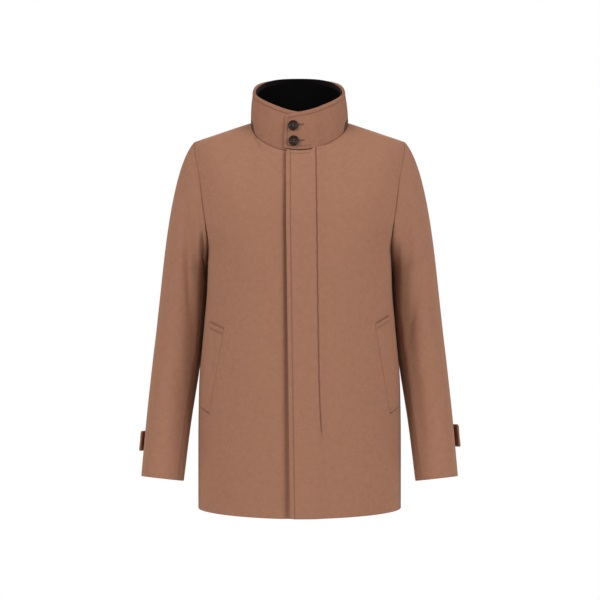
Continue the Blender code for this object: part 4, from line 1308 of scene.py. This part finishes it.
# a strap with rounded corners and a stitched groove inside its free edges
def tabWalls(hand):
    cut = {**tabCut, **tabCut[hand]}
    run = places(0.0, 1.0, cut["runStep"], cut["length"])[None, :]
    across = places(-0.5, 0.5, cut["acrossStep"], cut["width"])[:, None]
    half = 1 - 2 * quarterRound((1 - run) * cut["length"], cut["corner"]) / cut["width"]
    run, height = np.broadcast_arrays(run, cut["middle"] + across * half * cut["width"])
    base, normal = tabPoint(hand, run, height, 0.0)
    edges = edgeDistances(base)
    rim = np.minimum(np.minimum(edges["foot"], edges["top"]), edges["right"])
    line = bell(rim - cut["stitch"], cut["grooveWidth"])
    folded = foldedEdge(rim, cut["wall"], cut["fold"])
    outer = moved(base, normal, cut["wall"] - cut["groove"] * line - folded)
    return *sided(sides[hand], outer, moved(base, normal, folded)), cut["grooveShade"] * line


for hand in sides:
    addShell(hand + "CuffTab", *tabWalls(hand), wool, "cuff_tab_" + hand, "wool")
print("cloth pieces made")

# buttons: turned profile as (share of the radius, height), four sunk holes and two bars of thread
buttonCut = {
    "reach": (0.0, 0.20, 0.40, 0.52, 0.60, 0.68, 0.78, 0.88, 0.95, 0.99, 1.0, 0.99, 0.93, 0.60, 0.0),
    "rise": (1.9, 1.9, 1.95, 2.1, 2.6, 3.2, 3.55, 3.6, 3.35, 2.8, 1.9, 1.0, 0.3, 0.0, 0.0),  # millimetres
    "rings": 71,
    "columns": 56,
    "faceEnd": 6,  # the profile's row where the sunk face ends
    "holeAt": 0.19,
    "holeRadius": 0.95 * mm,
    "holeSoft": 0.4 * mm,
    "holeDepth": 1.1 * mm,
    "threadHeight": 2.0 * mm,
    "threadOver": 1.2 * mm,
}
threadForm = {"radius": 0.5 * mm, "arch": 0.7 * mm}
stitchForm = {"length": 2.7 * mm, "radius": 0.24 * mm, "arch": 0.12 * mm}
stitchPitch = 3.4 * mm
barMesh = {"rings": 7, "corners": 6, "tip": 0.02}
threadPlaces = []


# profile carried round an axis, holes as round dips in the sunk middle; threads are noted for later
def addButton(name, place, facing, up, radius, node):
    cut = buttonCut
    stations = np.linspace(0, len(cut["reach"]) - 1, cut["rings"])
    rows = np.arange(len(cut["reach"]))
    reach, rise = (np.interp(stations, rows, cut[key])[:, None] for key in ("reach", "rise"))
    turn = np.linspace(0, 2 * math.pi, cut["columns"] + 1)[None, :-1]
    a, b = reach * radius * np.cos(turn), reach * radius * np.sin(turn)
    offset = cut["holeAt"] * radius
    near = np.hypot(np.abs(a) - offset, np.abs(b) - offset)
    dip = cut["holeDepth"] * ease((cut["holeRadius"] - near) / cut["holeSoft"])
    dip = np.where((stations < cut["faceEnd"])[:, None], dip, 0.0)
    axis = unit(np.asarray(facing))
    side = unit(np.cross(up, axis))
    up = np.cross(axis, side)
    points = place + a[..., None] * side + b[..., None] * up + (rise * mm - dip)[..., None] * axis
    item = addMesh(name, points.reshape(-1, 3), gridFaces(*a.shape, wrap=True)[:, ::-1], horn)
    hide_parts(node)
    for row in (-1, 1):
        bar = place + facing * cut["threadHeight"] + up * offset * row
        threadPlaces.append((bar, side, facing, 2 * offset + cut["threadOver"]))


# stitches: short bars, thick in the middle, arched over the cloth; profile rings carried along each bar
def addStitches(name, centre, along, normal, material, length, radius, arch):
    station = np.linspace(-1, 1, barMesh["rings"])[None, :, None]
    turn = np.linspace(0, 2 * math.pi, barMesh["corners"] + 1)[None, None, :-1]
    along, normal = unit(along)[:, None, None, :], unit(normal)[:, None, None, :]
    side = unit(np.cross(normal, along))
    swell = np.sqrt(np.maximum(1 - station**2, barMesh["tip"]))
    length = np.asarray(length).reshape(-1, 1, 1)
    points = moved(centre[:, None, None, :], along, station * length / 2)
    points = moved(points, side, radius * swell * np.cos(turn))
    points = moved(points, normal, radius * swell * np.sin(turn) + arch * (1 - station**2))
    count, rings, corners = points.shape[:3]
    face = gridFaces(rings, corners, wrap=True)
    faces = (face[None] + (np.arange(count) * rings * corners)[:, None, None]).reshape(-1, 4)
    addMesh(name, points.reshape(-1, 3), faces, material)


# values read off at places along a running length
def readAt(place, length, values):
    return np.stack([np.interp(place, length, column) for column in values.T], axis=-1)


# places at equal steps along a path of points, with directions
def march(points, normals):
    length = np.concatenate([[0.0], np.cumsum(steps(points))])
    count = int(length[-1] // stitchPitch)
    at = (np.arange(count) + 0.5) * length[-1] / count
    ahead, behind = (readAt(at + stitchPitch / 3 * way, length, points) for way in (1, -1))
    return readAt(at, length, points), ahead - behind, readAt(at, length, normals)


# one row of stitches after another, joined into one piece
def addStitchRows(name, rows):
    joined = (np.concatenate(part) for part in zip(*(march(*row) for row in rows)))
    addStitches(name, *joined, seamThread, **stitchForm)


# point and direction on the left front's relief at a place seen from the front
def onFront(x, z, fromTop):
    point, normal = frontAt(x, z)
    relief, _ = placketRelief(point[..., 0], point[..., 2], fromTop)
    return moved(point, normal, relief + lapLift(x) + stitchForm["arch"]), normal


placketLines = {
    "edge": (-0.765, -0.080, 700),  # from, to, points
    "fly": (-0.622, -0.074, 560),
    "topHeight": -0.0802,
    "topPoints": 60,
}


# the placket's edge, its fly and the short row across its top
def placketRows():
    inset = placket["edgeStitch"]
    z = np.linspace(*placketLines["edge"])
    edge = onFront(placketEdge(z) + inset, z, np.full_like(z, farOff))
    z = np.linspace(*placketLines["fly"])
    fly = onFront(flyX(z), z, np.full_like(z, farOff))
    x = np.linspace(lap["leftTopX"] + inset, placket["topStitchEnd"], placketLines["topPoints"])
    top = onFront(x, np.full_like(x, placketLines["topHeight"]), np.full_like(x, placket["topStitch"]))
    return [edge, fly, top]


collarLines = {
    "from": -0.995,
    "short": 0.02,
    "rimPoints": 900,
    "endPoints": 60,
    "boxPoints": 50,
    "dropPoints": 12,
    "dropTo": 0.02,
    "sunk": 0.55,  # share of the groove's depth
}


# along the rim, down the lapped end, along the foot of the button box and down its side
def collarRows():
    cut, lines = collarCut, collarLines
    path = np.linspace(lines["from"], float(leftPath(cut["endX"])) - lines["short"], lines["rimPoints"])
    tall = collarTall(path)
    end, boxEnd = float(leftPath(cut["endX"] + cut["endStitch"])), float(leftPath(cut["boxEndX"]))
    rim = path < end
    low = cut["footStitch"] / tall[-1]
    high = np.linspace(low, 1 - cut["rimStitch"] / tall[-1], lines["endPoints"])
    across = np.linspace(end, boxEnd, lines["boxPoints"])
    drop = np.linspace(low + cut["foot"], lines["dropTo"], lines["dropPoints"])
    found = []
    for rowPath, rowHigh in (
        (path[rim], 1 - cut["rimStitch"] / tall[rim]),
        (np.full_like(high, end), high),
        (across, np.full_like(across, low + cut["foot"])),
        (np.full_like(drop, boxEnd), drop),
    ):
        normal = collarNormal(rowPath, rowHigh)
        found.append((moved(collar(rowPath, rowHigh), -normal, cut["groove"] * lines["sunk"]), normal))
    return found


weltLines = {"across": (0.06, 0.94, 30), "sunk": 0.8 * mm}


# straight across each end of a welt, a little way in
def weltRows():
    cut, lines, rows = weltCut, weltLines, []
    share = np.linspace(*lines["across"])[:, None]
    for hand, side in sides.items():
        corner = weltCorners(hand)
        for start, far in (("top", "foot"), ("foot", "top")):
            front, back = (
                corner[start + edge] + unit(corner[far + edge] - corner[start + edge]) * cut["endStitch"]
                for edge in ("Front", "Back")
            )
            point, normal = frontAt(*(front + (back - front) * share).T)
            rows.append(sided(side, moved(point, normal, cut["gap"] + cut["wall"] - lines["sunk"]), normal))
    return rows


tabLines = {"from": 0.02, "longPoints": 50, "shortPoints": 20, "sunk": 0.3 * mm}


# out along one edge of a tab, across its end and back along the other
def tabRows():
    lines, rows = tabLines, []
    long, short = lines["longPoints"], lines["shortPoints"]
    for hand, side in sides.items():
        cut = {**tabCut, **tabCut[hand]}
        reach = cut["width"] / 2 - cut["stitch"]
        end = 1 - cut["stitch"] / cut["length"]
        out, back = np.linspace(lines["from"], end, long), np.linspace(end, lines["from"], long)
        run = np.concatenate([out, np.full(short, end), back])
        over = np.full(long, reach), np.linspace(reach, -reach, short), np.full(long, -reach)
        height = cut["middle"] + np.concatenate(over)
        rows.append(sided(side, *tabPoint(hand, run, height, cut["wall"] - lines["sunk"])))
    return rows


addStitchRows("placketStitches", placketRows())
addStitchRows("collarStitches", collarRows())
addStitchRows("weltStitches", weltRows())
addStitchRows("tabStitches", tabRows())

collarButtons = {
    "radius": 0.0102,
    "upper": (-0.0116, 0.64),  # distance from the centre line, share of the collar's height
    "lower": (-0.0106, 0.23),
    "upStep": 0.01,
    "holeFrom": -0.0030,
    "holeTo": 0.0098,
    "holeRise": 0.012,
    "holeBars": 22,
    "lipAt": 0.8 * mm,
}
cuffButtons = {"radius": 0.0085, "run": 0.5}
holeForm = {"length": 1.5 * mm, "radius": 0.34 * mm, "arch": 0.10 * mm}

for level in ("upper", "lower"):
    x, share = collarButtons[level]
    path, high = leftPath([x]), np.array([share])
    facing = collarNormal(path, high)[0]
    place = collar(path, high)[0] + 2 * wall["layGap"] * facing
    up = (collar(path, high + collarButtons["upStep"]) - collar(path, high))[0]
    addButton(level + "CollarButton", place, facing, up, collarButtons["radius"], "collar_button_" + level)

for hand, side in sides.items():
    run, height = np.array([cuffButtons["run"]]), np.array([tabCut[hand]["middle"]])
    off = tabCut["wall"] + 2 * wall["seamGap"]
    (place,), (facing,) = sided(side, *tabPoint(hand, run, height, off))
    addButton(hand + "CuffButton", place, facing, (0, 0, 1), cuffButtons["radius"], "cuff_button_" + hand)

centre, along, normal, length = (np.array(part) for part in zip(*threadPlaces))
addStitches("buttonThreads", centre, along, normal, buttonThread, length, **threadForm)


# buttonholes: a slit and its overcast lips, as bars across a flat loop
def addButtonholes():
    form, bars = collarButtons, []
    for level in ("upper", "lower"):
        path = np.linspace(*leftPath([form["holeFrom"], form["holeTo"]]), form["holeBars"])
        high = np.full_like(path, form[level][1] + form["holeRise"])
        facing, row = collarNormal(path, high), collar(path, high)
        up = unit(np.cross(facing, np.gradient(row, axis=0)))
        bars += [(row + up * lip * form["lipAt"], up, facing) for lip in (-1, 1)]
    addStitches("buttonholes", *(np.concatenate(part) for part in zip(*bars)), holeThread, **holeForm)


addButtonholes()
print("stitches and buttons made")

# studio: white room, two broad soft lights ahead on either side and one behind, pale floor below the hem
studio = {
    "floor": -1.25,
    "floorHalf": 1.5,
    "floorLook": {"Base Color": (0.92, 0.92, 0.92, 1.0), "Roughness": 0.9},
    "white": (1.0, 1.0, 1.0, 1.0),
    "room": 0.40,
    "backdrop": 1.0,
    "boxSize": 1.8,
    "boxAim": (0.0, 0.0, -0.35),
    "boxes": (
        {"name": "softboxLeft", "place": (-2.4, -2.0, 1.3), "power": 94.0},
        {"name": "softboxRight", "place": (2.4, -2.0, 1.3), "power": 97.0},
        {"name": "softboxBack", "place": (0.0, 3.0, 0.9), "power": 60.0},
    ),
    "cameraPlace": (0.0008, -4.0, -0.356),
    "lens": 120.0,
    "sensor": 36.0,
}


# floor, white world, softboxes turned to the coat by the angles of their aim, and the photo's camera
def addStudio():
    scene = bpy.context.scene
    corners = np.array([(-1, -1), (1, -1), (1, 1), (-1, 1)]) * studio["floorHalf"]
    points = np.concatenate([corners, np.full((4, 1), studio["floor"])], axis=1)
    mesh = bpy.data.meshes.new("floor")
    mesh.from_pydata(points.tolist(), [], [(0, 1, 2, 3)])
    floor = bpy.data.objects.new("floor", mesh)
    scene.collection.objects.link(floor)
    material, tree = newMaterial("pale_floor")
    setShader(tree, studio["floorLook"])
    mesh.materials.append(material)
    world = bpy.data.worlds.new("white_room")
    world.use_nodes = True
    tree = world.node_tree
    room = tree.nodes["Background"]
    room.inputs["Color"].default_value = studio["white"]
    room.inputs["Strength"].default_value = studio["room"]
    backdrop = addNode(tree, "Background", {"Color": studio["white"], "Strength": studio["backdrop"]})
    seen = addNode(tree, "LightPath")  # the backdrop is lit white behind the coat, the room itself is dimmer
    shares = {"_0": seen.outputs["Is Camera Ray"], "_1": room.outputs[0], "_2": backdrop.outputs[0]}
    both = addNode(tree, "MixShader", **shares)
    tree.links.new(both.outputs[0], tree.nodes["World Output"].inputs["Surface"])
    scene.world = world
    for box in studio["boxes"]:
        light = bpy.data.lights.new(box["name"], "AREA")
        light.shape = "SQUARE"
        light.size = studio["boxSize"]
        light.energy = box["power"]
        lamp = bpy.data.objects.new(box["name"], light)
        lamp.location = box["place"]
        aim = np.array(studio["boxAim"]) - np.array(box["place"])
        lamp.rotation_euler = (math.acos(-aim[2] / np.linalg.norm(aim)), 0.0, math.atan2(-aim[0], aim[1]))
        scene.collection.objects.link(lamp)
    lens = bpy.data.cameras.new("photo_camera")
    lens.lens = studio["lens"]
    lens.sensor_width = studio["sensor"]
    camera = bpy.data.objects.new("photo_camera", lens)
    camera.location = studio["cameraPlace"]
    camera.rotation_euler = (quarter, 0.0, 0.0)
    scene.collection.objects.link(camera)
    scene.camera = camera
    scene.view_settings.view_transform = "Standard"


addStudio()
print("studio made")
